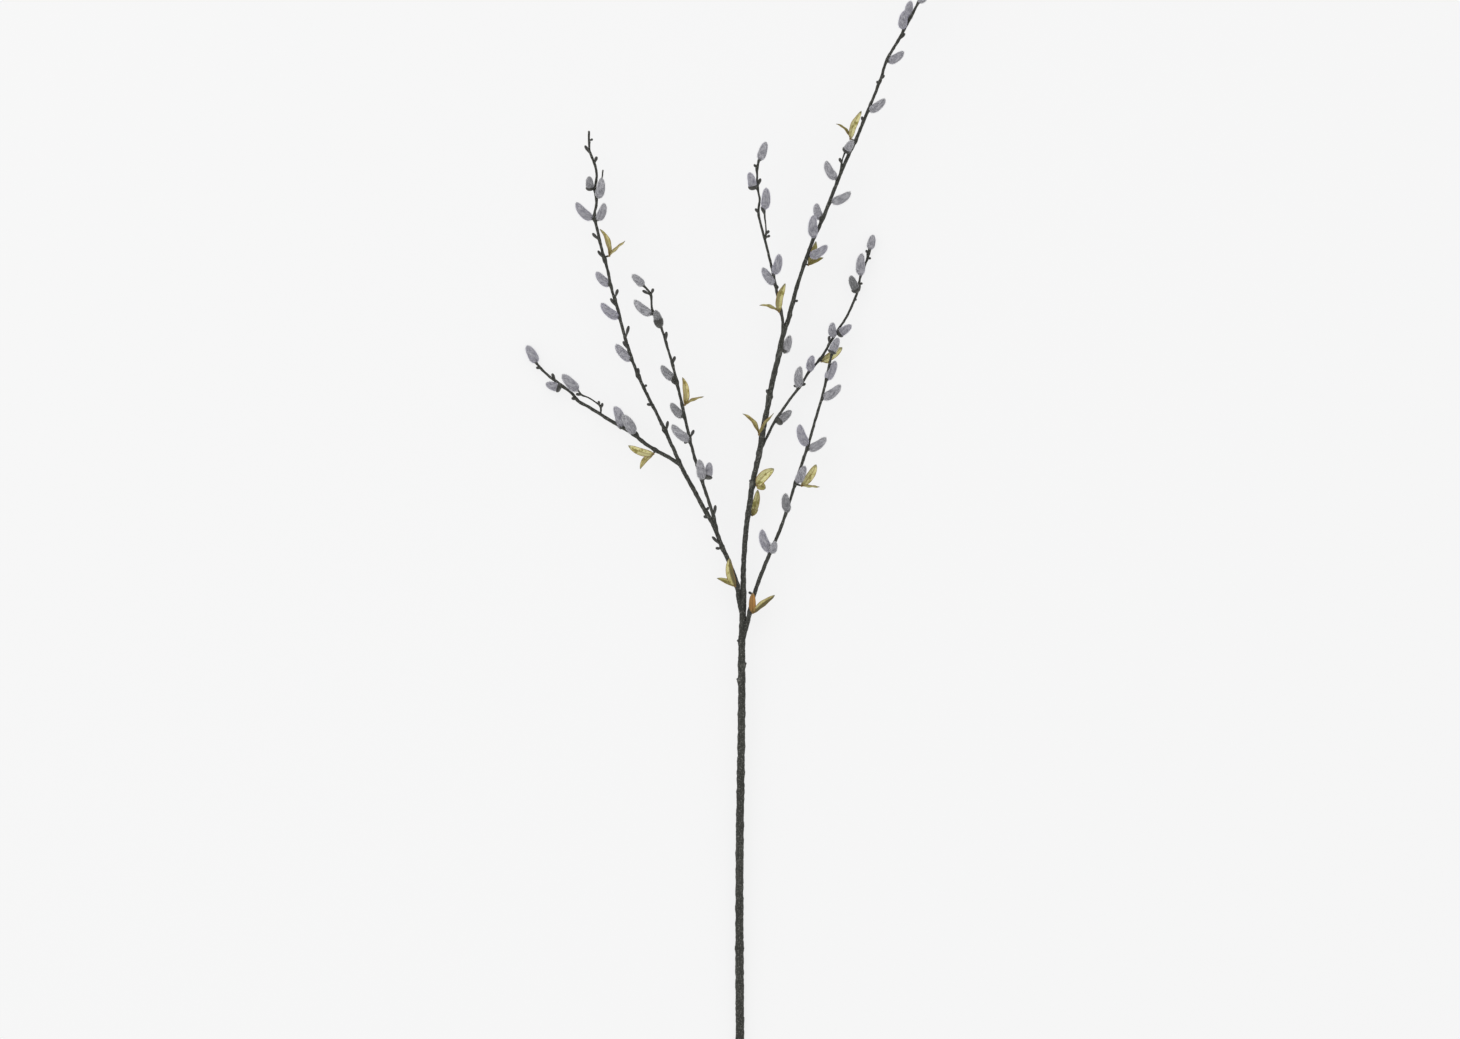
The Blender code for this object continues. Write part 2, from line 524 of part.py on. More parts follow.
def fuse(name, pieces, home):
    """One object from the pieces of a node, joined by a single Boolean union."""
    group = bpy.data.collections.new(name + " pieces")
    for piece in pieces[1:]:
        group.objects.link(piece)
    union = pieces[0].modifiers.new("union", "BOOLEAN")
    union.operation = "UNION"
    union.operand_type = "COLLECTION"
    union.collection = group
    union.solver = "EXACT"
    union.material_mode = "TRANSFER"
    evaluated = pieces[0].evaluated_get(bpy.context.evaluated_depsgraph_get())
    mesh = bpy.data.meshes.new_from_object(evaluated)
    for piece in pieces:
        bpy.data.objects.remove(piece)
    bpy.data.collections.remove(group)
    mesh.shade_smooth()
    mesh.set_sharp_from_angle(angle=math.radians(50))
    node = bpy.data.objects.new(name, mesh)
    home.objects.link(node)
    return node


def cut(node, cutter):
    """Take a cutter's shape away from a node."""
    modifier = node.modifiers.new("cut " + cutter.name, "BOOLEAN")
    modifier.operation = "DIFFERENCE"
    modifier.object = cutter
    modifier.solver = "EXACT"


def add_cutter(item, cutters):
    """Keep an object as a cutter, out of the renders."""
    for holder in item.users_collection:
        holder.objects.unlink(item)
    cutters.objects.link(item)
    item.hide_render = True
    item.display_type = "WIRE"
    return item


for old in list(bpy.data.objects):
    bpy.data.objects.remove(old)
home = bpy.data.collections.new("pussy willow twig")
cutters = bpy.data.collections.new("cutters")
bpy.context.scene.collection.children.link(home)
bpy.context.scene.collection.children.link(cutters)

lines = {}
for name in BRANCHES:
    lines[name] = branch_lines(name, lines)

surface_place = (0.0, SURFACE_MIDDLE_Y * MM, -0.5 * SURFACE_BLOCK[2] * MM)
bpy.ops.mesh.primitive_cube_add(size=1.0, location=surface_place)
surface_block = add_cutter(bpy.context.object, cutters)
surface_block.name = "surface below"
surface_block.scale = [side * MM for side in SURFACE_BLOCK]

nodes = {}
for name, grown in BRANCHES.items():
    pieces = [add_wood(name, lines)]
    for twig in lines[name][1:]:
        points = twig[::TWIG_STEP] + twig[-1:]
        pieces.append(add_tube(name + " twig", points, [SIDE_TWIG_RADIUS] * len(points), SPRAY_SIDES))
    for item in grown["catkins"]:
        pieces += add_catkin(name, lines, item)
    for number, item in enumerate(grown["buds"]):
        pieces.append(add_bud(name, lines, item, number))
    for number, item in enumerate(grown["leaves"]):
        start, end = leaf_seat(name, lines, item)
        pieces.append(add_rod(name + " peg", start, end, PEG_RADIUS * PEG_FLARE, PEG_RADIUS, 6))
        outward = (end - start).normalized()
        stalk_start = end + outward * SEAT_GAP
        stalk_end = stalk_start + outward * LEAF_STALK_LENGTH
        pair = [add_rod(name + " leaf stalk", stalk_start, stalk_end, PEG_RADIUS, PEG_RADIUS * 0.9, 6,
                        OLIVE)]
        blade_foot = stalk_start + outward * LEAF_STALK_LENGTH * LEAF_FOOT_SHARE
        pair += [add_blade(name + " blade", blade_foot, blade) for blade in item[2]]
        pair_name = "leaf_pair_" + name + "_" + str(number + 1)
        nodes[pair_name] = fuse(pair_name, pair, home)
    nodes[name] = fuse(name, pieces, home)
    cut(nodes[name], surface_block)

for name, (parent, _, _) in PARENTS.items():
    seat = add_cutter(add_wood(parent, lines, extra=SEAT_GAP), cutters)
    seat.name = name + " seat"
    cut(nodes[name], seat)
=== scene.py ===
import math
import random

import bmesh
import bpy
from mathutils import Matrix, Vector, noise


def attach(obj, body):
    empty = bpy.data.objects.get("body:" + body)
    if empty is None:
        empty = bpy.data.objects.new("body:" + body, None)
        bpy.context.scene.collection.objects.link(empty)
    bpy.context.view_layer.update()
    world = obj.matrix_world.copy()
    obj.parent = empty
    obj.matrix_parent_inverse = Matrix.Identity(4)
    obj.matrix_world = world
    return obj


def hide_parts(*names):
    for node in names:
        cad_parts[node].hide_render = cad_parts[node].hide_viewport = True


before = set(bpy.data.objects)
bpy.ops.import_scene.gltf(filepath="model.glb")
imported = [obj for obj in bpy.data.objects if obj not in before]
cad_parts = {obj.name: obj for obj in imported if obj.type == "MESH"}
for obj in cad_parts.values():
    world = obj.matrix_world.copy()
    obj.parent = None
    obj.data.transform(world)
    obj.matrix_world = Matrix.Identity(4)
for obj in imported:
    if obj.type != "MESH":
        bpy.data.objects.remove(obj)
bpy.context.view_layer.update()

# Wood
# The main stem, the two leaders and the four thin sprays: woody shoots, each bound from end to end with
# dark bark-coloured paper tape. The tape is wound in long overlapping laps, so it steps, creases and rubs
# pale along its edges, and it lumps wherever a bud, a leaf pair or a catkin is bound in.

# Every size and place below is in millimetres, and Blender works in metres.
MM = 0.001
UP = Vector((0, 0, 1))
STEM_RADIUS = 3.9
STEM_AXIS_HEIGHT = 3.6
LEADER_TIP_HEIGHT = 46.0
LEVEL_LENGTH = 40.0
CLIMB_POWER = 1.2
TWIG_RADIUS = 0.75
TWIG_RISES = (0.12, 0.3)

# How much of the stem's radius is left at places along Y, on the leader and on the left leader.
STEM_TAPER = [(-20, 1.1), (150, 1.09), (190, 1.02), (290, 1.01), (440, 0.92), (500, 0.83), (540, 0.64),
              (600, 0.67), (640, 0.71), (740, 0.7), (790, 0.57), (840, 0.44), (900, 0.46), (950, 0.45),
              (1010, 0.37), (1080, 0.35), (1157, 0.24)]
LEFT_LEADER_TAPER = [(489, 0.62), (545, 0.57), (620, 0.55), (690, 0.4), (850, 0.37), (920, 0.33), (974, 0.26)]

# The radius of each thin spray at its root, its middle and its tip.
SPRAY_RADII = {
    "left_low_spray": (1.95, 1.75, 1.1),
    "left_inner_spray": (1.7, 1.5, 1.0),
    "leader_inner_spray": (1.6, 1.25, 1.0),
    "right_upper_spray": (1.4, 1.22, 1.1),
    "right_low_spray": (2.4, 1.5, 1.25),
}

# Rings, waists and steps where the tape on the stem starts and ends: place along Y and girth.
STEM_RINGS = [(99, 0.93), (119, 1.07), (157, 1.1), (165, 0.92), (198, 1.12), (251, 1.08), (280, 1.08),
              (288, 0.93), (313, 1.08), (333, 1.1), (350, 0.92), (357, 1.1), (392, 1.1), (424, 1.12),
              (440, 1.12), (512, 1.1), (561, 1.08), (602, 1.1), (655, 1.15), (690, 1.08), (714, 1.15),
              (758, 1.1), (803, 1.12)]

# Each branch: its route in plan, its side twigs, and what grows on it. A catkin is its foot,
# its tip, how it leans towards +Z, and how many lengths of dark bud scale still hold it. A leaf
# pair is its foot, its lift over the branch, and two blades. A blade is its tip, its width as
# seen from above, its bow to the left of its own direction, and its rise. A bud is its foot
# and its tip.
BRANCHES = {
    "main_stem": {
        "route": [(0, -20), (0, 66), (-0.5, 145), (-0.5, 225), (0, 285), (1, 345), (1.7, 405), (1.7, 455),
                  (3, 495), (3.6, 540), (6, 575), (9, 597), (13.3, 625), (18.5, 648), (23, 675), (27, 695),
                  (32.3, 723), (37.6, 745), (43, 770), (48.5, 786), (53.2, 805), (59, 825), (65.7, 845),
                  (73, 865), (80.5, 881), (90.3, 905), (98, 925), (106.3, 945), (116, 965), (124, 985),
                  (132.5, 1005), (140.3, 1025), (146.9, 1045), (157, 1062), (164, 1075), (174.7, 1095),
                  (184, 1115), (192.5, 1136), (199, 1157)],
        "twigs": [[(97.5, 924), (100.5, 935), (102, 944), (105, 953)]],
        "catkins": [((44.5, 753), (50, 769.5), -1.6, 0), ((70.5, 849), (87, 859.2), 1, 0),
                    ((74, 868), (74, 889.5), 1.2, 0), ((81, 886), (76.5, 901.5), -1.2, 0),
                    ((92, 903), (110.5, 912.5), 0.5, 0), ((96, 926), (86, 943.5), 0.6, 0),
                    ((105.3, 953), (113, 964.5), 1, 1), ((129.5, 994), (145, 1005.5), 0.4, 0),
                    ((148, 1043), (163.5, 1053), -0.3, 0), ((162.5, 1076), (165, 1093.5), 1.2, 0),
                    ((169, 1085), (170.5, 1103.5), -1.2, 0), ((179, 1102), (190, 1118), 0.8, 0),
                    ((190.5, 1131), (182, 1148), 0.5, 0), ((195.5, 1144), (209, 1157), -0.8, 0),
                    ((199.5, 1156), (203.5, 1176), 0.3, 0)],
        "leaves": [((11.5, 590), -5.0, [((17.8, 615.3), 7, -1, -2), ((18, 595.5), 5.5, 1, 1)]),
                   ((16, 619.5), 4.0, [((33.8, 636.2), 10, 2, 3), ((25.5, 616.5), 8, 1, 1)]),
                   ((19.5, 670), 5.0, [((3.3, 691.5), 4, -2.5, 4), ((34.3, 691), 2.6, 3, 7)]),
                   ((67.5, 840), -4.5, [((76.2, 863.4), 6, -0.5, -3), ((83.5, 847), 4.5, 1, -4)]),
                   ((111, 965), 3.5, [((121.6, 993), 6.5, 2.6, 4), ((96.4, 980.8), 2.4, -2.2, 5)])],
        "buds": [((138.5, 1018), (136.8, 1023.5)), ((141, 1023), (144, 1029.5)), ((124, 980.5), (121.8, 988)),
                 ((158, 1063), (164.7, 1071)), ((54.5, 803), (58, 804)), ((29, 708), (26.5, 715.5)),
                 ((13.5, 621), (9.5, 625)), ((1.5, 463), (-3, 465)), ((186, 1119), (189.5, 1125)),
                 ((100, 933), (103, 941)), ((101.5, 940), (99.3, 946.5)), ((2, 440), (6.6, 442)),
                 ((1, 425), (-3.6, 426))],
    },
    "left_leader": {
        "route": [(2.5, 489), (-1, 505), (-3.5, 522), (-11, 543), (-18.5, 560), (-26.5, 580), (-36.5, 597),
                  (-46, 615), (-55.5, 632), (-66, 655), (-80, 685), (-95.2, 715), (-104, 735), (-111, 755),
                  (-117, 775), (-121.8, 795), (-128, 815), (-132.3, 835), (-138, 855), (-142.5, 875),
                  (-145.4, 889), (-143.2, 902), (-144.8, 916), (-143, 930), (-146.5, 944), (-150.4, 955),
                  (-150.9, 974)],
        "twigs": [[(-144.5, 909), (-140, 919), (-137.7, 927), (-136.7, 935)]],
        "catkins": [((-149.5, 915), (-150.7, 928.5), 0.8, 1), ((-141.5, 907.5), (-138.2, 926.5), 1.2, 0),
                    ((-148, 886), (-163.5, 902), 0.4, 0), ((-142, 885), (-135.5, 901.5), 0.8, 0),
                    ((-130.5, 820), (-143.5, 833), -0.8, 0), ((-121.5, 787.5), (-138.5, 801.5), 0.3, 0),
                    ((-109, 745), (-124, 760.5), -0.4, 0)],
        "leaves": [((-4.5, 519), 4.0, [((-10.5, 547), 8, 2.5, 5), ((-23, 527), 5, -1, 2)]),
                   ((-131.5, 848.5), 2.5, [((-139.2, 875.5), 5, -2.5, 6), ((-114.2, 863), 2.6, 1.8, 4)])],
        "buds": [((-151, 963.5), (-147, 965.5)), ((-149.5, 948), (-155, 959)), ((-145, 940), (-143, 948)),
                 ((-141, 863), (-147.5, 871.5)), ((-135.5, 844), (-142, 854)), ((-125, 806), (-122, 815.5)),
                 ((-122.5, 796), (-129.5, 806.5)), ((-114, 766), (-111, 779)), ((-111, 753), (-117, 763.5)),
                 ((-103, 725), (-102, 737)), ((-96.5, 717), (-93, 720)), ((-88, 698), (-93, 701)),
                 ((-74, 672), (-72, 684)), ((-76, 675), (-80, 683)), ((-35, 592), (-31.5, 598)),
                 ((-31, 585.5), (-36.5, 589)), ((-19, 557), (-28, 568.5)), ((-18, 556), (-24.5, 557))],
    },
    "left_low_spray": {
        "route": [(-54.5, 631), (-60, 639.5), (-70, 647), (-83, 654), (-95, 661.5), (-105, 669.5),
                  (-115, 676.2), (-128, 683.5), (-140, 691), (-152, 698.5), (-161, 703.5), (-169, 712.5),
                  (-179, 720), (-190, 728), (-199, 736.5), (-204.5, 743)],
        "twigs": [[(-139, 691), (-139.5, 698), (-144, 702.5), (-152, 707.5), (-158, 710), (-162.5, 715.5)]],
        "catkins": [((-204, 742.5), (-213.5, 759.5), -0.2, 0), ((-180, 717), (-194.5, 721.5), -0.2, 1),
                    ((-162.5, 715), (-177.5, 730.5), 0.8, 0), ((-119.5, 677), (-125.5, 698.5), -0.4, 0),
                    ((-107, 672), (-117.5, 690), 1, 0)],
        "leaves": [((-86, 652), 1.5, [((-111.5, 659.2), 7.5, 2, 3), ((-99.8, 635.8), 5.5, -2.5, -1)])],
        "buds": [((-199, 735.5), (-204, 737.5)), ((-184, 723), (-188, 731.5)), ((-162, 704.5), (-168.5, 707)),
                 ((-99.5, 664.5), (-105, 674)), ((-139, 695), (-137.2, 702)),
                 ((-140.5, 698.5), (-141.5, 704)), ((-157, 710), (-164, 711))],
    },
    "left_inner_spray": {
        "route": [(-22, 568), (-25.5, 585), (-31, 603), (-36, 618), (-41.5, 635), (-45.5, 648), (-50, 665),
                  (-54.5, 685), (-58.5, 703), (-62, 718), (-66.5, 737), (-73, 759), (-79, 778), (-85, 788),
                  (-88, 797), (-88.8, 809), (-93.5, 816), (-98, 820)],
        "twigs": [],
        "catkins": [((-96.5, 819), (-108, 830), 0.4, 0), ((-89, 790.5), (-105.5, 804.5), 0.4, 0),
                    ((-80, 778), (-84.5, 794.5), 1, 2.6), ((-66.5, 726), (-78.5, 739.5), -0.8, 0),
                    ((-57, 688.5), (-69, 702), -0.8, 0), ((-51, 665.5), (-68, 680), 0.5, 0),
                    ((-38.5, 626.5), (-41, 645.5), 1.2, 0), ((-32.5, 627), (-30.5, 643), -0.6, 0.6)],
        "leaves": [((-55.6, 699.8), 2.5, [((-57, 727.2), 6.5, -1.8, 5), ((-36, 707.5), 2.6, 2.5, 4)])],
        "buds": [((-89, 809), (-97.5, 814)), ((-88.7, 809), (-86.5, 816)), ((-74.5, 762), (-73.5, 773)),
                 ((-68.5, 739), (-65, 748.5)), ((-64, 717), (-68.5, 725)), ((-50, 666), (-46, 675)),
                 ((-50, 664), (-56, 662)), ((-26, 587), (-24.5, 600))],
    },
    "leader_inner_spray": {
        "route": [(42.4, 767), (42.6, 783), (39.5, 800), (36, 816), (32.5, 833), (27.3, 855), (22, 875),
                  (18.5, 891), (19.5, 905), (17.5, 917), (17, 933), (18.5, 943), (20, 947)],
        "twigs": [[(25, 864.5), (26, 874), (25, 885), (24.3, 895)], [(18.3, 913), (15.5, 916), (12.5, 917)]],
        "catkins": [((20, 944.5), (26, 962.5), 0.3, 0), ((12.5, 915.5), (9, 932), 0.5, 1),
                    ((24.8, 896), (26.2, 916.5), 0.8, 0), ((34, 831), (39, 850.5), 0.8, 0),
                    ((34.5, 821), (22.5, 837), 0.2, 0)],
        "leaves": [((39.5, 793), 2.5, [((45.5, 821), 7, 2.8, 5), ((19.7, 799.8), 3, -1.5, 3)])],
        "buds": [((18.5, 890.5), (15.2, 896)), ((25, 866), (30, 869)), ((26, 869.5), (29, 874)),
                 ((18, 917), (20.5, 926)), ((17, 936), (14, 940)), ((24.5, 888), (21.5, 898)),
                 ((34, 822), (38, 816))],
    },
    "right_upper_spray": {
        "route": [(20.5, 655), (25, 664), (34.5, 683), (49.5, 705), (59.5, 718), (69, 733), (81, 747),
                  (90, 762), (98, 775), (106.5, 788), (113, 802), (118, 815), (120, 827), (125, 840),
                  (128.5, 851), (129.8, 857)],
        "twigs": [],
        "catkins": [((129.8, 856), (133.3, 870.5), 0.3, 0), ((121, 830.5), (121.8, 851.5), 0.8, 0),
                    ((117, 814), (110.5, 829.5), 0.8, 1), ((93.5, 769), (93, 782.5), 1.4, 0),
                    ((98.5, 771), (111.5, 780), 0.8, 1), ((70.5, 734.5), (73, 749.5), 1, 0),
                    ((59.5, 718.5), (60.5, 738.5), 0.8, 0), ((37.5, 683), (51.5, 694.5), -0.5, 1)],
        "leaves": [((81, 744), -3.2, [((102.2, 757.4), 8, -0.8, 1), ((89.5, 741.3), 3, 1, -1)])],
        "buds": [((59, 717.5), (53.5, 719.5)), ((59.5, 717.5), (65.5, 721.5)), ((113.5, 804), (116.5, 806)),
                 ((119, 820.5), (122.5, 822)), ((89, 760), (89.2, 769)), ((127.5, 845.5), (131, 847)),
                 ((128.5, 850.5), (126, 855))],
    },
    "right_low_spray": {
        "route": [(2, 462), (8, 485), (12.5, 505), (19, 525), (27, 545), (33, 559), (41, 578), (50, 605),
                  (56.3, 625), (63, 645), (69.5, 665), (75.5, 686), (82, 708), (86.5, 727), (89.5, 742),
                  (92, 752)],
        "twigs": [],
        "catkins": [((91.5, 752.5), (98.2, 767.3), 0.3, 0.5), ((86.5, 725.5), (95.5, 744), -0.3, 0),
                    ((82.5, 707), (100.5, 720), -0.2, 0), ((67, 660), (59.5, 680.5), 0.5, 0),
                    ((68.5, 656), (86, 667.5), -0.3, 0), ((57.5, 623), (65, 639.3), 1, 0),
                    ((48, 594), (45.5, 611.8), 1, 0), ((30.5, 554), (22, 575.5), 0.5, 0),
                    ((32.5, 553), (35.5, 564), 1.8, 0)],
        "leaves": [((12, 492.5), 2.5, [((12.8, 512.5), 7, 0.5, 4), ((35, 509.5), 6, 1.8, 3)]),
                   ((60.5, 619.5), -2.0, [((76.2, 640.5), 8, -1.5, -3), ((79.5, 617.5), 2.4, 1, 0)])],
        "buds": [((13.5, 510), (8.5, 513)), ((62.5, 646.5), (65.5, 651))],
    },
}

# Each spray: what it grows from, the height of its tip, and how far it bows upwards on the way.
PARENTS = {
    "left_leader": ("main_stem", 36.0, 10.0),
    "left_low_spray": ("left_leader", 4.4, 3.0),
    "left_inner_spray": ("left_leader", 60.0, 6.0),
    "leader_inner_spray": ("main_stem", 54.0, 6.0),
    "right_upper_spray": ("main_stem", 4.2, 3.0),
    "right_low_spray": ("main_stem", 38.0, 6.0),
}

# Extra knots where the tape is bunched: a place in plan and how far they stand out, in millimetres.
KNOTS = {
    "left_leader": [((-103.5, 728), 1.0), ((-75, 675), 0.7), ((-146, 887), 1.0), ((-134, 844), 0.5)],
    "left_inner_spray": [((-66, 722), 0.8), ((-89, 791), 0.6)],
    "right_upper_spray": [((118, 817), 1.0), ((128, 851), 0.5)],
    "leader_inner_spray": [((17, 937), 0.5)],
    "main_stem": [((96.5, 924), 0.5), ((80.9, 887), 0.4)],
}

# How far the bark stands out over what is bound in, and how such a lump spreads along and round the shoot.
GROWN_LUMPS = {"catkins": 0.7, "buds": 0.4, "leaves": 0.5}
LUMP_HALF_LENGTH = 2.9
WAIST_HALF_LENGTH = 1.3
LUMP_REACH = 8
LUMP_ALL_ROUND = 0.6
LUMP_ONE_SIDED = 0.7

# The tape: how far it goes on in one turn, how high its step is, and how unevenly it is wound.
TAPE_PITCH = {"main_stem": 19.0, "left_leader": 15.0}
TAPE_STEP = {"main_stem": 0.34, "left_leader": 0.26}
SPRAY_TAPE_PITCH = 11.0
SPRAY_TAPE_STEP = 0.17
DRIFT_TURNS = 0.8
DRIFT_LENGTH = 31

# The relief of the bark: its height, how often it changes round the shoot, and its length along it.
BUMP_RELIEF = 0.42
BUMP_SHARE = 0.24
BUMP_LENGTH = 6
FIBRE_RELIEF = 0.16
FIBRE_RATE = 3
FIBRE_LENGTH = 9
CRINKLE_RELIEF = 0.26
CRINKLE_RATE = 2.2
CRINKLE_LENGTH = 1.9
FULL_RELIEF_RADIUS = 2.5

# How far each thing rubs the bark pale. Thin shoots stay dark on their lumps, and the low stem is darkest.
THICK_RADIUS = 2.2
THICK_LUMP_RUB = 0.6
THIN_LUMP_RUB = -0.5
WEATHERED_FROM = 420
WEATHERED_LENGTH = 900
WEATHERED_LEAST = -0.45
WEATHERED_MOST = 0.12
LAP_EDGE = 0.82
LAP_RUB = 3
FIBRE_RUB = 0.35
CRINKLE_RUB = 0.3

BARK_SIDES = {"main_stem": 22, "left_leader": 18}
SPRAY_BARK_SIDES = 14
PEG_RADIUS = 1.05
PEG_SIDES = 10
PEG_INTO_STALK = 0.6
SEAM = 0.02
GRAIN_STEP = 0.1
SHOOT_SEED = 7.3
TWIG_SEED = 3.1
PEG_SEED = 5.7


def value_at(rows, place):
    """The value at a place in rows of (place, value), in a straight line between rows."""
    if place <= rows[0][0]:
        return rows[0][1]
    for (low, before), (high, after) in zip(rows, rows[1:]):
        if place <= high:
            return before + (after - before) * (place - low) / (high - low)
    return rows[-1][1]


def smooth_line(points):
    """Points about a millimetre apart along a smooth curve through the given ones."""
    ends = [2 * points[0] - points[1]] + list(points) + [2 * points[-1] - points[-2]]
    line = []
    for before, start, end, after in zip(ends, ends[1:], ends[2:], ends[3:]):
        count = max(1, round((end - start).length))
        for index in range(count):
            t = index / count
            line.append(0.5 * (2 * start + (end - before) * t
                               + (2 * before - 5 * start + 4 * end - after) * t ** 2
                               + (3 * start - before - 3 * end + after) * t ** 3))
    line.append(points[-1])
    return line


def nearest(line, place):
    """The index of the point of a line that lies nearest to a place in plan."""
    return min(range(len(line)), key=lambda index: (line[index].xy - Vector(place)).length)


def direction(line, index):
    """The way a line runs at one of its points."""
    return (line[min(index + 3, len(line) - 1)] - line[max(index - 3, 0)]).normalized()


def shoot_lines(name, lines):
    """The axis of a shoot and those of its side twigs, as points with their heights."""
    plan = smooth_line([Vector(place) for place in BRANCHES[name]["route"]])
    axis = []
    if name == "main_stem":
        level_end = BRANCHES[name]["route"][0][1] + LEVEL_LENGTH
        run = BRANCHES[name]["route"][-1][1] - level_end
        for place in plan:
            climb = max(0.0, (place.y - level_end) / run) ** CLIMB_POWER
            height = STEM_AXIS_HEIGHT + (LEADER_TIP_HEIGHT - STEM_AXIS_HEIGHT) * climb
            axis.append(place.to_3d() + UP * height)
    else:
        parent, tip_height, bow = PARENTS[name]
        parent_line = lines[parent][0]
        root_height = parent_line[nearest(parent_line, plan[0])].z
        for index, place in enumerate(plan):
            part = index / (len(plan) - 1)
            height = root_height + (tip_height - root_height) * part + bow * math.sin(math.pi * part)
            axis.append(place.to_3d() + UP * height)
    shoots = [axis]
    for number, twig in enumerate(BRANCHES[name]["twigs"]):
        twig_plan = smooth_line([Vector(place) for place in twig])
        root = axis[nearest(axis, twig_plan[0])]
        rise = TWIG_RISES[number % 2]
        shoots.append([place.to_3d() + UP * (root.z + rise * index) for index, place in enumerate(twig_plan)])
    return shoots


def host_of(name, place):
    """The axis of a shoot or side twig that a place belongs to, and the index there."""
    return min(((line, nearest(line, place)) for line in lines[name]),
               key=lambda found: (found[0][found[1]].xy - Vector(place)).length)


def plain_radius(name, line, index):
    """The radius of a shoot at one of the points of its axis, before the tape."""
    if name == "main_stem":
        return STEM_RADIUS * value_at(STEM_TAPER, line[index].y)
    if name == "left_leader":
        return STEM_RADIUS * value_at(LEFT_LEADER_TAPER, line[index].y)
    root, middle, tip = SPRAY_RADII[name]
    return value_at([(0, root), (0.5, middle), (1, tip)], index / (len(line) - 1))


def lumps_on(name, axis):
    """Where the tape lumps over what is bound in: (index, height, half length, the way it leans or None)."""
    lumps = []
    for kind, height in GROWN_LUMPS.items():
        for item in BRANCHES[name][kind]:
            line, index = host_of(name, item[0])
            if line is axis:
                leaning = None if kind == "leaves" else Vector((*item[1], axis[index].z)) - axis[index]
                lumps.append((index, height, LUMP_HALF_LENGTH, leaning))
    for place, height in KNOTS.get(name, []):
        line, index = host_of(name, place)
        if line is axis:
            lumps.append((index, height, LUMP_HALF_LENGTH, None))
    if name == "main_stem" and axis is lines[name][0]:
        for place, girth in STEM_RINGS:
            index = nearest(axis, (0, place))
            half = LUMP_HALF_LENGTH if girth > 1 else WAIST_HALF_LENGTH
            lumps.append((index, (girth - 1) * plain_radius(name, axis, index), half, None))
    return lumps


def bark_noise(around, index, rate, length, seed):
    """Soft noise about zero, read round a shoot and along it."""
    return noise.noise(Vector((math.cos(around) * rate, math.sin(around) * rate, index / length + seed)))


def wrap_bark(form, line, radius_at, lumps, sides, pitch, step, seed):
    """Wrap a grid round a line as a closed bark tube, stepped where the tape laps over itself."""
    grain = form.verts.layers.float_vector["grain"]
    rubbed = form.verts.layers.float["rubbed"]
    last = len(line) - 1
    frames = []
    for index in range(last + 1):
        ahead = direction(line, index)
        side = ahead.cross(UP).normalized()
        near = [lump for lump in lumps if abs(lump[0] - index) < LUMP_REACH]
        frames.append((side, side.cross(ahead), near))
    made = bmesh.ops.create_grid(form, x_segments=sides, y_segments=last, size=1.0)["verts"]
    for vertex in made:
        index = round((vertex.co.y + 1) / 2 * last)
        around = math.pi * vertex.co.x + math.pi / 2
        side, over, near = frames[index]
        spoke = side * math.cos(around) + over * math.sin(around)
        raised = 0.0
        for place, height, half, leaning in near:
            bump = height * math.exp(-((index - place) / half) ** 2)
            if leaning is not None:
                bump *= LUMP_ALL_ROUND + LUMP_ONE_SIDED * spoke.dot(leaning.normalized())
            raised += bump
        drift = noise.noise(Vector((index / DRIFT_LENGTH, 0, seed)))
        lap = (index / pitch + DRIFT_TURNS * drift + around / math.tau) % 1.0
        lump = bark_noise(around, index, 1, BUMP_LENGTH, seed)
        fibre = bark_noise(around, index, FIBRE_RATE, FIBRE_LENGTH, seed)
        crinkle = bark_noise(around, index, CRINKLE_RATE, CRINKLE_LENGTH, seed)
        plain = radius_at(index)
        radius = plain + raised + min(BUMP_RELIEF, BUMP_SHARE * plain) * lump
        radius += step * (lap - 0.5)
        radius += (FIBRE_RELIEF * fibre + CRINKLE_RELIEF * crinkle) * min(1.0, plain / FULL_RELIEF_RADIUS)
        if index in (0, last):
            radius = 0.0
        vertex.co = (line[max(index, 1)] + spoke * radius) * MM
        vertex.co.z = max(vertex.co.z, 0.0)
        vertex[grain] = (math.cos(around), math.sin(around), index * GRAIN_STEP + seed)
        lump_rub = abs(raised) * (THICK_LUMP_RUB if plain > THICK_RADIUS else THIN_LUMP_RUB)
        weathered = (line[index].y - WEATHERED_FROM) / WEATHERED_LENGTH
        weathered = min(WEATHERED_MOST, max(WEATHERED_LEAST, weathered))
        lap_rub = max(0.0, lap - LAP_EDGE) * LAP_RUB
        vertex[rubbed] = lump_rub + weathered + lap_rub + FIBRE_RUB * fibre + CRINKLE_RUB * crinkle
    bmesh.ops.remove_doubles(form, verts=made, dist=SEAM * MM)


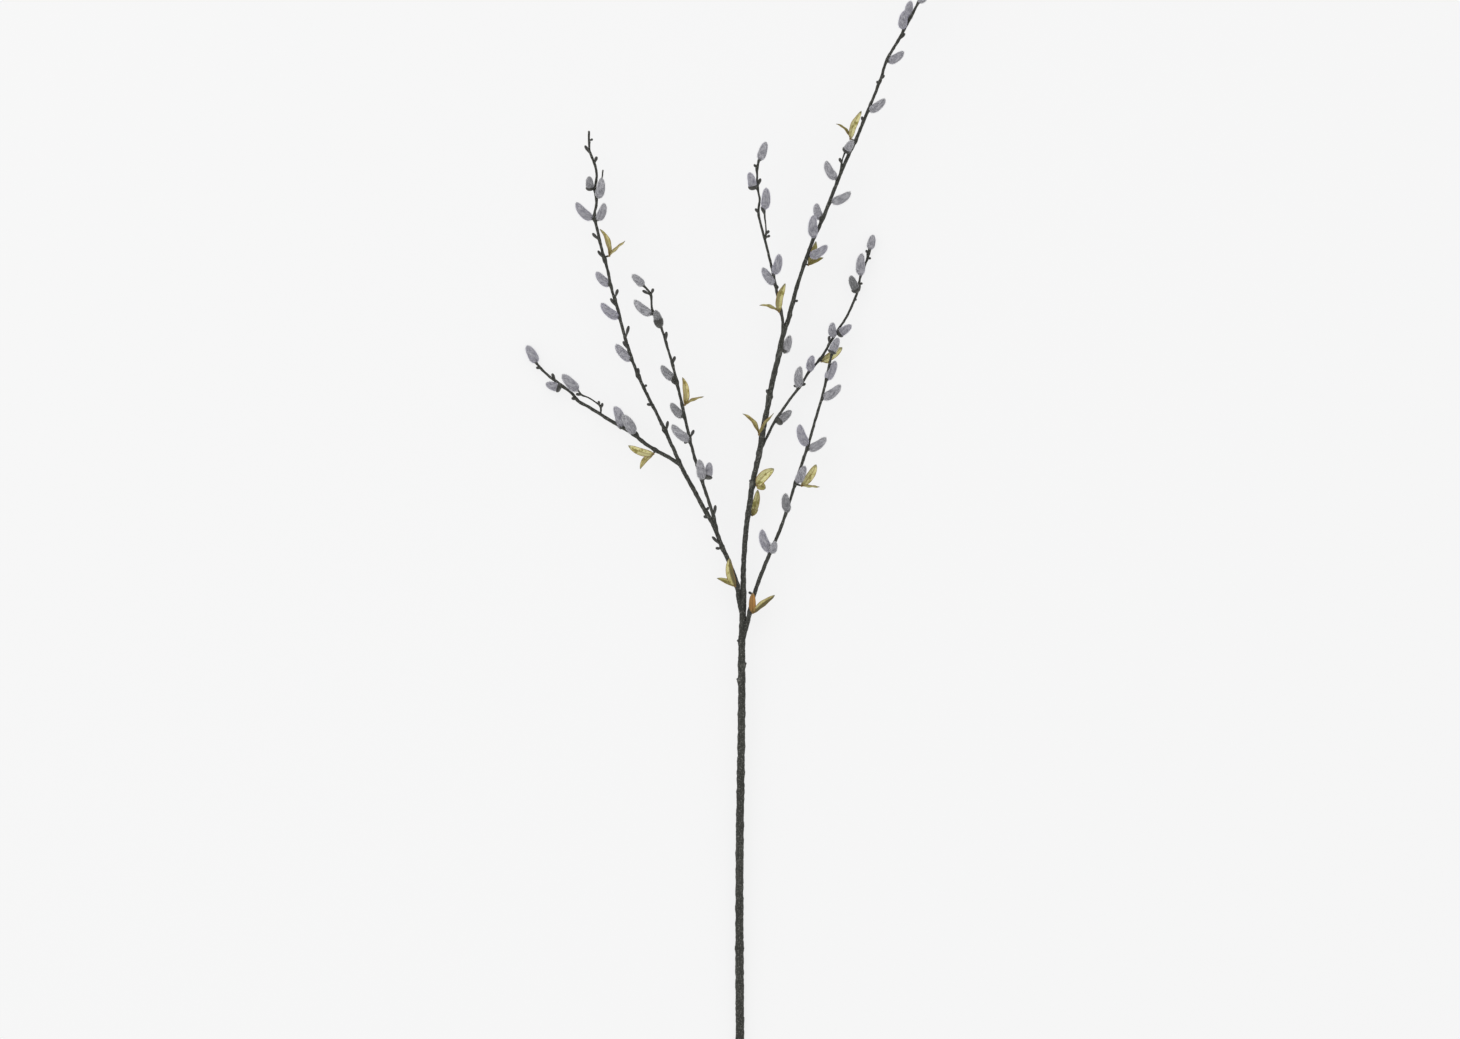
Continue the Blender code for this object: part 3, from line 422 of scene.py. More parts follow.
class Wire:
    """A value on its way through a material. Sums on it add Math nodes, and add() any other node."""

    def __init__(self, tree, socket=None):
        self.tree = tree
        self.socket = socket

    def add(self, kind, settings, values, output=0):
        """A new node: its settings, what goes into its sockets, and which of its outputs comes back."""
        node = self.tree.nodes.new(kind)
        for name, value in settings.items():
            setattr(node, name, value)
        for name, value in values.items():
            if isinstance(value, Wire):
                self.tree.links.new(value.socket, node.inputs[name])
            else:
                node.inputs[name].default_value = value
        return Wire(self.tree, node.outputs[output])

    def math(self, operation, first, second=0.0):
        return self.add("ShaderNodeMath", {"operation": operation}, {0: first, 1: second})

    def __add__(self, other):
        return self.math("ADD", self, other)

    def __radd__(self, other):
        return self.math("ADD", other, self)

    def __sub__(self, other):
        return self.math("SUBTRACT", self, other)

    def __rsub__(self, other):
        return self.math("SUBTRACT", other, self)

    def __mul__(self, other):
        return self.math("MULTIPLY", self, other)

    def __rmul__(self, other):
        return self.math("MULTIPLY", other, self)

    def __pow__(self, other):
        return self.math("POWER", self, other)

    def __abs__(self):
        return self.math("ABSOLUTE", self)

    def rise(self, low, high):
        """0 below low, 1 above high, and a soft step between."""
        return self.add("ShaderNodeMapRange", {"interpolation_type": "SMOOTHSTEP"},
                        {"Value": self, "From Min": low, "From Max": high})

    def read(self, name, output="Vector"):
        """What the mesh's points say under that name."""
        return self.add("ShaderNodeAttribute", {"attribute_name": name}, {}, output)

    def place(self):
        """Where the point is in the piece's own space."""
        return self.add("ShaderNodeTexCoord", {}, {}, "Object")

    def scaled(self, factors):
        """A vector times another, number by number."""
        return self.add("ShaderNodeVectorMath", {"operation": "MULTIPLY"}, {0: self, 1: factors})

    def parts(self):
        """The three numbers of a vector."""
        node = self.add("ShaderNodeSeparateXYZ", {}, {"Vector": self}).socket.node
        return [Wire(self.tree, socket) for socket in node.outputs]

    def clouds(self, scale, detail=3.0, roughness=0.55):
        """Soft noise from about 0.2 to 0.8, read along this vector."""
        sockets = {"Vector": self, "Scale": scale, "Detail": detail, "Roughness": roughness}
        return self.add("ShaderNodeTexNoise", {}, sockets, "Fac")

    def blend(self, colour, other):
        """One colour where this is 0 and the other where it is 1."""
        return self.add("ShaderNodeMix", {"data_type": "RGBA"}, {0: self, 6: colour, 7: other}, 2)


def start_finish(name, constants):
    """A new material with numbers set on its shader, and a wire to draw the rest from."""
    material = bpy.data.materials.new(name)
    material.use_nodes = True
    shader = material.node_tree.nodes["Principled BSDF"]
    for socket, value in constants.items():
        shader.inputs[socket].default_value = value
    return material, shader, Wire(material.node_tree)


def feed(shader, socket, wire):
    """Lead a wire into one of the shader's sockets."""
    wire.tree.links.new(wire.socket, shader.inputs[socket])


def add_relief(shader, height, depth, strength=1.0):
    """Bump the surface by a height, depth millimetres deep."""
    sockets = {"Strength": strength, "Distance": depth * MM, "Height": height}
    feed(shader, "Normal", height.add("ShaderNodeBump", {}, sockets, "Normal"))


# The colours and patterns of the bark. The scales of noise here and below are per metre.
BARK_DARK = (0.020, 0.021, 0.017, 1.0)
BARK_MID = (0.038, 0.039, 0.032, 1.0)
BARK_PALE = (0.088, 0.088, 0.076, 1.0)
BARK_RUBBED = (0.20, 0.198, 0.178, 1.0)
STREAK_STRETCH = (5.0, 5.0, 1.6)
THREAD_STRETCH = (16.0, 16.0, 2.5)
SPECK_SCALE = 760.0
PATCH_SCALE = 45.0
BARK_BUMP = 0.5

bark, shader, pen = start_finish("bark_tape", {"Specular IOR Level": 0.3})
grain = pen.read("grain")
streaks = grain.scaled(STREAK_STRETCH).clouds(1.0, 5.0, 0.65)
threads = grain.scaled(THREAD_STRETCH).clouds(1.0, 2.0)
specks = pen.place().clouds(SPECK_SCALE, 3.0, 0.65)
patches = pen.place().clouds(PATCH_SCALE, 3.0)
worn = (pen.read("rubbed", "Fac") + threads * 0.5 - 0.3).rise(0.15, 0.95)
tone = streaks.rise(0.32, 0.62).blend(BARK_DARK, BARK_MID)
tone = (patches.rise(0.45, 0.75) * streaks.rise(0.4, 0.7)).blend(tone, BARK_PALE)
tone = (worn * 0.5).blend(tone, BARK_RUBBED)
tone = (specks.rise(0.57, 0.66) * 0.9).blend(tone, BARK_RUBBED)
tone = ((1.0 - specks.rise(0.36, 0.46)) * 0.8).blend(tone, BARK_DARK)
feed(shader, "Base Color", tone)
feed(shader, "Roughness", 0.86 - streaks * 0.25)
add_relief(shader, streaks + threads * 0.5, BARK_BUMP, 0.7)


def as_mesh(name, form):
    """A mesh made from a bmesh, which is then let go."""
    mesh = bpy.data.meshes.new(name)
    form.to_mesh(mesh)
    form.free()
    return mesh


def new_object(name, data):
    """A new object in the scene that shows a mesh, a lamp or a camera."""
    made = bpy.data.objects.new(name, data)
    bpy.context.scene.collection.objects.link(made)
    return made


def finish_piece(name, form, material, nodes=()):
    """A smooth-shaded piece from a bmesh, riding on the part and standing for its CAD nodes."""
    mesh = as_mesh(name, form)
    mesh.materials.append(material)
    mesh.shade_smooth()
    piece = new_object(name, mesh)
    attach(piece, "root")
    if nodes:
        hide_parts(*nodes)
    return piece


lines = {}
for number, name in enumerate(BRANCHES):
    lines[name] = shoot_lines(name, lines)
    form = bmesh.new()
    form.verts.layers.float_vector.new("grain")
    form.verts.layers.float.new("rubbed")
    axis = lines[name][0]
    sides = BARK_SIDES.get(name, SPRAY_BARK_SIDES)
    pitch = TAPE_PITCH.get(name, SPRAY_TAPE_PITCH)
    step = TAPE_STEP.get(name, SPRAY_TAPE_STEP)
    seed = number * SHOOT_SEED
    wrap_bark(form, axis, lambda index: plain_radius(name, axis, index), lumps_on(name, axis),
              sides, pitch, step, seed)
    for twig in lines[name][1:]:
        wrap_bark(form, twig, lambda index: TWIG_RADIUS, lumps_on(name, twig), SPRAY_BARK_SIDES,
                  SPRAY_TAPE_PITCH, SPRAY_TAPE_STEP, seed + TWIG_SEED)
    for foot, lift, _ in BRANCHES[name]["leaves"]:
        line, index = host_of(name, foot)
        start = line[index]
        end = Vector((*foot, start.z + lift))
        peg = smooth_line([start, (start + end) / 2, end + (end - start).normalized() * PEG_INTO_STALK])
        wrap_bark(form, peg, lambda index: PEG_RADIUS, [], PEG_SIDES, SPRAY_TAPE_PITCH, 0.0, seed + PEG_SEED)
    finish_piece("bark_" + name, form, bark, [name])

# Cut end
# The foot of the main stem, cut square across with shears: the pale core of the shoot shows inside the
# edge of the tape, with its growth rings and a small dark pith.
CUT_RADIUS = 3.15
CUT_DEPTH = 1.2
CUT_PROUD = 0.25
CUT_SIDES = 32
CUT_EDGE = 0.2
PITH_RADIUS = 0.5
PITH_DEPTH = 0.25
PITH_EDGE = 0.15

foot = lines["main_stem"][0][1]
form = bmesh.new()
bmesh.ops.create_cone(form, cap_ends=True, segments=CUT_SIDES, radius1=CUT_RADIUS * MM,
                      radius2=CUT_RADIUS * MM, depth=CUT_DEPTH * MM)
front = [face for face in form.faces if face.normal.z > 0.9]
rim = list(front[0].edges)
bmesh.ops.bevel(form, geom=rim, offset=CUT_EDGE * MM, affect="EDGES", segments=2, profile=0.5, material=-1)
front = [face for face in form.faces if face.normal.z > 0.99]
core_width = CUT_RADIUS - CUT_EDGE - PITH_RADIUS
bmesh.ops.inset_region(form, faces=front, thickness=core_width * MM, depth=0.0)
front = [face for face in form.faces
         if face.normal.z > 0.99 and face.calc_center_median().xy.length < PITH_EDGE * MM]
bmesh.ops.inset_region(form, faces=front, thickness=PITH_EDGE * MM, depth=-PITH_DEPTH * MM)
turn = Matrix.Rotation(math.radians(90), 4, "X")
middle = foot - Vector((0, CUT_PROUD - CUT_DEPTH / 2, 0))
bmesh.ops.transform(form, matrix=Matrix.Translation(middle * MM) @ turn, verts=form.verts)
for vertex in form.verts:
    vertex.co.z = max(vertex.co.z, 0.0)

WOOD_PALE = (0.46, 0.36, 0.20, 1.0)
WOOD_DARK = (0.27, 0.19, 0.09, 1.0)
PITH = (0.09, 0.06, 0.035, 1.0)
PORE_SCALE = 2600.0
RING_RATE = 9000.0
CUT_BUMP = 0.2

cut_wood, shader, pen = start_finish("cut_wood", {"Specular IOR Level": 0.3, "Roughness": 0.85})
middled = pen.add("ShaderNodeVectorMath", {"operation": "SUBTRACT"}, {0: pen.place(), 1: foot * MM})
across = middled.scaled((1.0, 0.0, 1.0))
apart = pen.add("ShaderNodeVectorMath", {"operation": "LENGTH"}, {0: across}, "Value")
pores = middled.clouds(PORE_SCALE, 3.0)
rings = pen.math("SINE", apart * RING_RATE + pores * 3.0) * 0.5 + 0.5
tone = (rings * 0.6 + pores * 0.4).blend(WOOD_PALE, WOOD_DARK)
tone = apart.rise(0.0004, 0.0009).blend(PITH, tone)
feed(shader, "Base Color", tone)
add_relief(shader, rings + pores, CUT_BUMP, 0.6)
finish_piece("cut_end", form, cut_wood)

# Buds and bud scales
# Small shut buds that stand off the bark, the short stalk and collar under every catkin, and the glossy
# hood of a burst bud that some catkins still wear: stiff brown-black scales, all grown from the shoot.
BUD_RADIUS = 1.5
BUD_RADIUS_LEAST = 0.85
BUD_GROWTH = 0.08
BUD_RISE = 0.3
BUD_SIDES = 12
BUD_RINGS = 10
BUD_ROLL = 2.4
SWELL_START = 0.25
SWELL_RUN = 0.45
CREASE_SHARPNESS = 6
STALK_RADIUS = 1.495
STALK_BEHIND = 0.6
STALK_SINK = 2.5
STALK_ROLL = 1.7
COLLAR_RADIUS = 2.3
COLLAR_BEHIND = 1.6
COLLAR_AHEAD = 2.2
COLLAR_BOW_SHARE = 0.1
COLLAR_ROLL = 2.1
CUP_GIRTH = 1.1
CUP_LENGTH = 0.22
CUP_BEHIND = 0.1
CUP_OUT = 0.12
CUP_ROLL = 1.3

# Where a catkin stands and how it is curved, here because its stalk and its scales follow it.
CATKIN_RADIUS_BASE = 3.05
CATKIN_GROWTH = 0.085
CATKIN_BOW = 0.155
HELD_BOW_SHARE = 0.4
PLUMP_SHOOTS = {"left_low_spray": 1.1}
CATKIN_TIP_ROOM = 1.0
CATKIN_LEAN = 0.38
CATKIN_FOOT_LIFT = 1.5


def unit_bud(start, end, bluntness, crease, lip=0.5):
    """A bean one long, with its girth at start and end, a crease, and a lip where it is widest."""
    form = bmesh.new()
    along = form.verts.layers.float.new("along")
    bmesh.ops.create_uvsphere(form, u_segments=BUD_SIDES, v_segments=BUD_RINGS, radius=1.0)
    for vertex in form.verts:
        part = (vertex.co.z + 1) / 2
        around = math.atan2(vertex.co.y, vertex.co.x)
        short = (lip - part) / lip if part < lip else (part - lip) / (1 - lip)
        grown = min(1.0, max(0.0, (part - SWELL_START) / SWELL_RUN))
        girth = start + (end - start) * grown * grown * (3 - 2 * grown)
        swell = math.sqrt(max(0.0, 1 - abs(short) ** bluntness)) * girth
        swell *= 1 - crease * max(0.0, math.cos(around)) ** CREASE_SHARPNESS
        vertex.co = (math.cos(around) * swell, math.sin(around) * swell, part)
        vertex[along] = part
    return as_mesh("unit_bud", form)


def set_bean(form, unit, foot, tip, radius, bow=Vector(), roll=0.0):
    """A copy of a unit bean in a bmesh, bent along a bowed line from foot to tip. Its points come back."""
    before = len(form.verts)
    form.from_mesh(unit)
    form.verts.ensure_lookup_table()
    run = tip - foot
    spin = Matrix.Rotation(roll, 3, "Z")
    placed = form.verts[before:]
    for vertex in placed:
        part = vertex.co.z
        turn = (run + bow * 4 * (1 - 2 * part)).to_track_quat("Z", "Y")
        centre = foot + run * part + bow * 4 * part * (1 - part)
        spread = turn @ (spin @ Vector((vertex.co.x, vertex.co.y, 0)))
        vertex.co = (centre + spread * radius) * MM
        vertex.co.z = max(vertex.co.z, 0.0)
    return placed


def catkin_place(name, item):
    """Where a catkin stands: the spot on its shoot, its foot, tip, radius, bow, and the way it bows."""
    foot_place, tip_place, lean, hold = item
    line, index = host_of(name, foot_place)
    spot = line[index]
    plan_length = (Vector(tip_place) - Vector(foot_place)).length
    foot = Vector((*foot_place, spot.z + lean * CATKIN_FOOT_LIFT))
    tip = Vector((*tip_place, foot.z + lean * CATKIN_LEAN * plan_length))
    tip -= (tip - foot).normalized() * CATKIN_TIP_ROOM
    run = tip - foot
    along = direction(line, index)
    outward = -(along - along.project(run))
    radius = (CATKIN_RADIUS_BASE + CATKIN_GROWTH * run.length) * PLUMP_SHOOTS.get(name, 1.0)
    share = CATKIN_BOW * (HELD_BOW_SHARE if hold else 1.0)
    return spot, foot, tip, radius, outward * share * run.length, outward


SCALE_DARK = (0.010, 0.010, 0.008, 1.0)
SCALE_MID = (0.026, 0.025, 0.019, 1.0)
SCALE_EDGE = (0.085, 0.070, 0.045, 1.0)
SPECKLE_SCALE = 900.0
SCALE_VEINS = 260.0
SCALE_BUMP = 0.3

bud_scale, shader, pen = start_finish("bud_scale", {"Specular IOR Level": 0.5, "Coat Weight": 0.25,
                                                    "Coat Roughness": 0.3})
speckle = pen.place().clouds(SPECKLE_SCALE, 3.0)
veins = pen.place().clouds(SCALE_VEINS, 4.0, 0.7)
along = pen.read("along", "Fac")
tone = veins.rise(0.35, 0.65).blend(SCALE_DARK, SCALE_MID)
tone = (speckle.rise(0.58, 0.75) * 0.6).blend(tone, SCALE_EDGE)
bark_tone = veins.rise(0.35, 0.65).blend(BARK_MID, BARK_PALE)
tone = (along + veins * 0.5).rise(0.4, 0.95).blend(bark_tone, tone)
feed(shader, "Base Color", tone)
feed(shader, "Roughness", 0.32 + speckle * 0.35)
add_relief(shader, veins + speckle * 0.4, SCALE_BUMP, 0.5)

SHUT_BUD = unit_bud(0.55, 1.15, 4.0, 0.15)
SCALE_CUP = unit_bud(1.0, 1.0, 2.4, 0.0, 0.8)
COLLAR = unit_bud(0.75, 1.1, 2.6, 0.1)

for name in BRANCHES:
    form = bmesh.new()
    form.verts.layers.float.new("along")
    for order, (foot_place, tip_place) in enumerate(BRANCHES[name]["buds"]):
        line, index = host_of(name, foot_place)
        foot = line[index]
        reach = (Vector(tip_place) - foot.xy).length
        tip = Vector((*tip_place, foot.z + (BUD_RISE if order % 3 else -BUD_RISE) * reach))
        set_bean(form, SHUT_BUD, foot, tip, min(BUD_RADIUS, BUD_RADIUS_LEAST + BUD_GROWTH * reach),
                 roll=order * BUD_ROLL)
    for order, item in enumerate(BRANCHES[name]["catkins"]):
        spot, foot, tip, radius, bow, outward = catkin_place(name, item)
        ahead = (tip - foot).normalized()
        set_bean(form, COLLAR, spot - ahead * STALK_BEHIND, foot + ahead * STALK_SINK, STALK_RADIUS,
                 roll=order * STALK_ROLL)
        set_bean(form, COLLAR, foot - ahead * COLLAR_BEHIND, foot + ahead * COLLAR_AHEAD, COLLAR_RADIUS,
                 bow * COLLAR_BOW_SHARE, order * COLLAR_ROLL)
        if item[3]:
            length = (tip - foot).length
            aside = outward * CUP_OUT * radius
            back = foot - ahead * CUP_BEHIND * length + aside
            front = foot + ahead * CUP_LENGTH * item[3] * length + aside + bow * CUP_LENGTH
            set_bean(form, SCALE_CUP, back, front, radius * CUP_GIRTH, roll=order * CUP_ROLL)
    finish_piece("buds_" + name, form, bud_scale, [name])

# Catkins
# The furry flower buds: a soft grey bean of packed tufts, and over it a coat of fine silver hairs that
# lie forward towards the tip. They are darker between the tufts and greyer towards the tip.
CATKIN_ASPECT = 4.08
BEAN_BLUNTNESS = 3.0
BEAN_TAPER = 0.42
CORE_SHARE = 0.88
CORE_SIDES = 24
CORE_RINGS = 18
CORE_TUFTS = 0.05
TUFT_RATE = 6.5
TUFT_CONTRAST = 1.1
SLOPE_STEP = 0.01
HAIRS = 2300
HAIR_ROOT = 0.84
HAIR_LENGTH = 0.24
HAIR_RADIUS = 0.017
HAIR_LEAN = 0.9
HAIR_JITTER = 0.28
HAIR_TURN = 0.1
HAIR_EVEN_SHARE = 0.5
HAIR_LENGTH_LEAST = 0.65
HAIR_LENGTH_ON_TUFT = 0.45
HAIR_LENGTH_BY_CHANCE = 0.3
HAIR_SHADE_ON_TUFT = 0.3
LONG_HAIR_EVERY = 4
LONG_HAIR_STRETCH = 1.45
LONG_HAIR_THICKNESS = 0.7
LONG_HAIR_LEAN = 0.62
GOLDEN_ANGLE = math.pi * (3 - math.sqrt(5))
FUR_KINDS = 4
# How much darker than the rest some catkins still are, by their place in the list of their shoot.
DIM_CATKINS = {
    "right_upper_spray": {2: 0.7, 7: 0.3},
    "left_inner_spray": {2: 0.6, 3: 0.3, 4: 0.35},
    "right_low_spray": {6: 0.45},
    "left_leader": {0: 0.35},
}


def bean_girth(part):
    """How full a catkin is along its length, from 0 at the foot to 0 at the tip."""
    return math.sqrt(max(0.0, 1 - abs(2 * part - 1) ** BEAN_BLUNTNESS)) * (1 - BEAN_TAPER * (part - 0.5))


def tuft_at(around, part):
    """How far a place on a catkin lies up a tuft, from 0 between the tufts to 1 on top."""
    spot = Vector((math.cos(around), math.sin(around), part * CATKIN_ASPECT)) * TUFT_RATE
    return min(1.0, max(0.0, 0.5 + TUFT_CONTRAST * noise.noise(spot)))


def unit_core():
    """The body of a catkin, one long and one in radius, with tufts raised where noise lifts them."""
    form = bmesh.new()
    fur = form.verts.layers.float_vector.new("fur")
    bmesh.ops.create_uvsphere(form, u_segments=CORE_SIDES, v_segments=CORE_RINGS, radius=1.0)
    for vertex in form.verts:
        part = (vertex.co.z + 1) / 2
        around = math.atan2(vertex.co.y, vertex.co.x)
        tuft = tuft_at(around, part)
        girth = bean_girth(part) * CORE_SHARE * (1 + CORE_TUFTS * (2 * tuft - 1))
        vertex.co = (math.cos(around) * girth, math.sin(around) * girth, part)
        vertex[fur] = (tuft, part, 0.0)
    return as_mesh("unit_core", form)


def unit_fur(dice):
    """The coat of one catkin: thin three-sided hairs that stand off the bean and lean towards its tip."""
    hair = bmesh.new()
    bmesh.ops.create_cone(hair, cap_ends=False, segments=3, radius1=HAIR_RADIUS, radius2=0.0, depth=1.0)
    bmesh.ops.translate(hair, vec=(0, 0, 0.5), verts=hair.verts)
    hair_mesh = as_mesh("hair", hair)
    form = bmesh.new()
    form.verts.layers.float_vector.new("fur")
    squeeze = Matrix.Diagonal((1.0, 1.0, 1 / CATKIN_ASPECT, 1.0))
    for number in range(HAIRS):
        share = (number + dice.random()) / HAIRS
        at_the_ends = (1 - math.cos(math.pi * share)) / 2
        part = HAIR_EVEN_SHARE * share + (1 - HAIR_EVEN_SHARE) * at_the_ends
        around = number * GOLDEN_ANGLE + dice.uniform(-HAIR_TURN, HAIR_TURN)
        girth = bean_girth(part)
        growth = bean_girth(part + SLOPE_STEP) - bean_girth(part - SLOPE_STEP)
        slope = growth / (2 * SLOPE_STEP * CATKIN_ASPECT)
        out = Vector((math.cos(around), math.sin(around), -slope)).normalized()
        forward = Vector((math.cos(around) * slope, math.sin(around) * slope, 1)).normalized()
        is_long = number % LONG_HAIR_EVERY == 0
        lean = (LONG_HAIR_LEAN if is_long else HAIR_LEAN) + dice.gauss(0, HAIR_JITTER)
        heading = out * math.cos(lean) + forward * math.sin(lean)
        heading += out.cross(forward) * dice.gauss(0, HAIR_JITTER)
        tuft = tuft_at(around, part)
        length = HAIR_LENGTH * (HAIR_LENGTH_LEAST + HAIR_LENGTH_ON_TUFT * tuft
                                + HAIR_LENGTH_BY_CHANCE * dice.random())
        thick = 1.0
        if is_long:
            length *= LONG_HAIR_STRETCH
            thick = LONG_HAIR_THICKNESS
        root = Vector((math.cos(around) * girth * HAIR_ROOT, math.sin(around) * girth * HAIR_ROOT, part))
        stretch = Matrix.Diagonal((thick, thick, length, 1.0))
        turn = heading.to_track_quat("Z", "Y").to_matrix().to_4x4()
        form.from_mesh(hair_mesh)
        form.verts.ensure_lookup_table()
        placed = form.verts[-4:]
        bmesh.ops.transform(form, matrix=Matrix.Translation(root) @ squeeze @ turn @ stretch, verts=placed)
        fur = form.verts.layers.float_vector["fur"]
        shade = HAIR_SHADE_ON_TUFT * tuft + (1 - HAIR_SHADE_ON_TUFT) * dice.random()
        for vertex in placed:
            vertex[fur] = (shade, part, 1.0 if vertex is placed[3] else 0.0)
    return as_mesh("unit_fur", form)


FUR_SHADOW = (0.175, 0.174, 0.19, 1.0)
FUR_GREY = (0.385, 0.382, 0.40, 1.0)
FUR_SILVER = (0.97, 0.965, 0.98, 1.0)
FUR_LILAC = (0.61, 0.58, 0.76, 1.0)
FUR_TIP = (0.50, 0.50, 0.51, 1.0)
FUR_DIM = (0.085, 0.09, 0.082, 1.0)
FLECK_SCALE = 1400.0
DOWN_BUMP = 0.4
DICE_SEED = 11

down, shader, pen = start_finish("catkin_down", {"Specular IOR Level": 0.1, "Roughness": 0.95})
tufts = pen.read("fur").parts()[0]
flecks = pen.place().clouds(FLECK_SCALE, 3.0)
tone = (tufts * 0.6 + flecks * 0.5).rise(0.25, 0.85).blend(FUR_SHADOW, FUR_GREY)
tone = pen.read("dim", "Fac").blend(tone, FUR_DIM)
feed(shader, "Base Color", tone)
add_relief(shader, flecks, DOWN_BUMP, 0.8)

silver_fur, shader, pen = start_finish("silver_fur", {"Specular IOR Level": 0.15, "Roughness": 0.7,
                                                      "Sheen Weight": 0.35, "Sheen Roughness": 0.5})
tufts, along, height = pen.read("fur").parts()
tint = pen.read("tint", "Fac")
tone = (tufts * 0.8 + height * 0.35).rise(0.12, 0.95).blend(FUR_GREY, FUR_SILVER)
tone = (tint ** 1.5 * 0.7).blend(tone, FUR_LILAC)
tone = (along.rise(0.72, 1.0) * 0.5).blend(tone, FUR_TIP)
tone = (pen.read("dim", "Fac") * (1.1 - tufts)).blend(tone, FUR_DIM)
feed(shader, "Base Color", tone)

CORE = unit_core()
dice = random.Random(DICE_SEED)
COATS = [unit_fur(dice) for _ in range(FUR_KINDS)]

for name in BRANCHES:
    cores = bmesh.new()
    cores.verts.layers.float_vector.new("fur")
    cores.verts.layers.float.new("dim")
    coats = bmesh.new()
    coats.verts.layers.float_vector.new("fur")
    coats.verts.layers.float.new("tint")
    coats.verts.layers.float.new("dim")
    for order, item in enumerate(BRANCHES[name]["catkins"]):
        _, foot, tip, radius, bow, _ = catkin_place(name, item)
        roll = dice.uniform(0, math.tau)
        dimness = DIM_CATKINS.get(name, {}).get(order, 0.0)
        body = set_bean(cores, CORE, foot, tip, radius, bow, roll)
        dim = cores.verts.layers.float["dim"]
        for vertex in body:
            vertex[dim] = dimness
        tinge = dice.random()
        hairs = set_bean(coats, COATS[order % FUR_KINDS], foot, tip, radius, bow, roll)
        tint = coats.verts.layers.float["tint"]
        dim = coats.verts.layers.float["dim"]
        for vertex in hairs:
            vertex[tint] = tinge
            vertex[dim] = dimness
    finish_piece("catkins_" + name, cores, down, [name])
    finish_piece("fur_" + name, coats, silver_fur, [name])

# Leaves
# Pairs of young narrow leaves, each on a short stalk that sits on a peg of the shoot: thin blades folded
# along a dark midrib, olive to ochre, browner at the foot and drying at the curled tip.

# How ochre each blade is, how dusky, and how much painted shade darkens its left half, or below 0 its right
# one, as if the fold turned that half from the light.
BLADE_TONES_AND_FOLD_SHADE = {
    "main_stem": [[(0.0, 0.1, -0.4), (0.15, 0.6, 0.3)], [(0.0, 0.05, 0.3), (0.1, 0.35, 0.3)],
                  [(0.35, 0.3, 0.5), (0.15, 0.4, -0.4)], [(0.0, 0.6, 0.3), (0.0, 0.85, 0.4)],
                  [(0.1, 0.0, 0.3), (0.1, 0.75, 0.4)]],
    "left_leader": [[(0.15, 0.15, -1.0), (0.0, 0.4, 0.6)], [(0.3, 0.15, 0.5), (0.3, 0.15, 0.5)]],
    "left_low_spray": [[(0.1, 0.0, 0.3), (0.25, 0.15, 0.4)]],
    "left_inner_spray": [[(0.4, 0.0, 0.4), (0.3, 0.35, 0.4)]],
    "leader_inner_spray": [[(0.05, 0.2, 0.6), (0.05, 0.35, 0.4)]],
    "right_upper_spray": [[(0.0, 0.12, 0.5), (0.2, 0.4, 0.0)]],
    "right_low_spray": [[(1.0, 0.1, 0.3), (0.2, 0.15, -1.0)], [(0.15, 0.0, 0.3), (0.0, 0.3, 0.5)]],
}
LEAF_SOLID = 0.45
LEAF_VEINS = 3.0
LEAF_COLUMNS = 8
LEAF_ROWS = 24
LEAF_FOLD = 0.28
LEAF_TRUE_WIDTH = 8.5
LEAF_SLENDERNESS = 0.26
LEAF_WIDEST = 0.85
LEAF_NARROW = 4.0
LEAF_BROAD = 8.0
POINTED_POWER = 0.8
BLUNT_SPREAD = 2.2
BLUNT_POWER = 0.6
FOLD_POWER = 1.4
LEAF_ARCH = 0.08
LEAF_FOOT_HALF_WIDTH = 0.45
LEAF_TIP_HALF_WIDTH = 0.12
LEAF_WAVE = 0.4
WAVE_RATE = 14
WAVE_ACROSS = 2.1
WAVE_PAIR_STEP = 1.9
WAVE_BLADE_STEP = 2.6
LEAF_CURL = 0.8
LEAF_CURL_START = 0.78
LEAF_STALK_LENGTH = 1.6
LEAF_STALK_RADIUS = 0.9
LEAF_STALK_BEHIND = 0.4
LEAF_STALK_AHEAD = 0.3
LEAF_FOOT_SHARE = 0.6
SEAT_GAP = 0.3

LEAF_YELLOW = (0.42, 0.385, 0.095, 1.0)
LEAF_OCHRE = (0.42, 0.19, 0.045, 1.0)
# A pale mottle colour that also serves as a painted highlight.
LEAF_PALE_MOTTLE_AND_HIGHLIGHT = (0.86, 0.82, 0.44, 1.0)
LEAF_OLIVE = (0.175, 0.155, 0.032, 1.0)
# Dark veins, and also the painted shade on one half of a folded blade.
LEAF_VEIN_AND_PAINTED_SHADE = (0.070, 0.056, 0.016, 1.0)
LEAF_EDGE = (0.27, 0.13, 0.032, 1.0)
LEAF_RIB = (0.17, 0.085, 0.022, 1.0)
LEAF_BROWN = (0.13, 0.075, 0.022, 1.0)
LEAF_DRY = (0.19, 0.17, 0.10, 1.0)
MOTTLE_SCALE = 190.0
FINE_SCALE = 1300.0
SIDE_RIBS = 13.0
RIB_SLANT = 1.8
LEAF_BUMP = 0.4

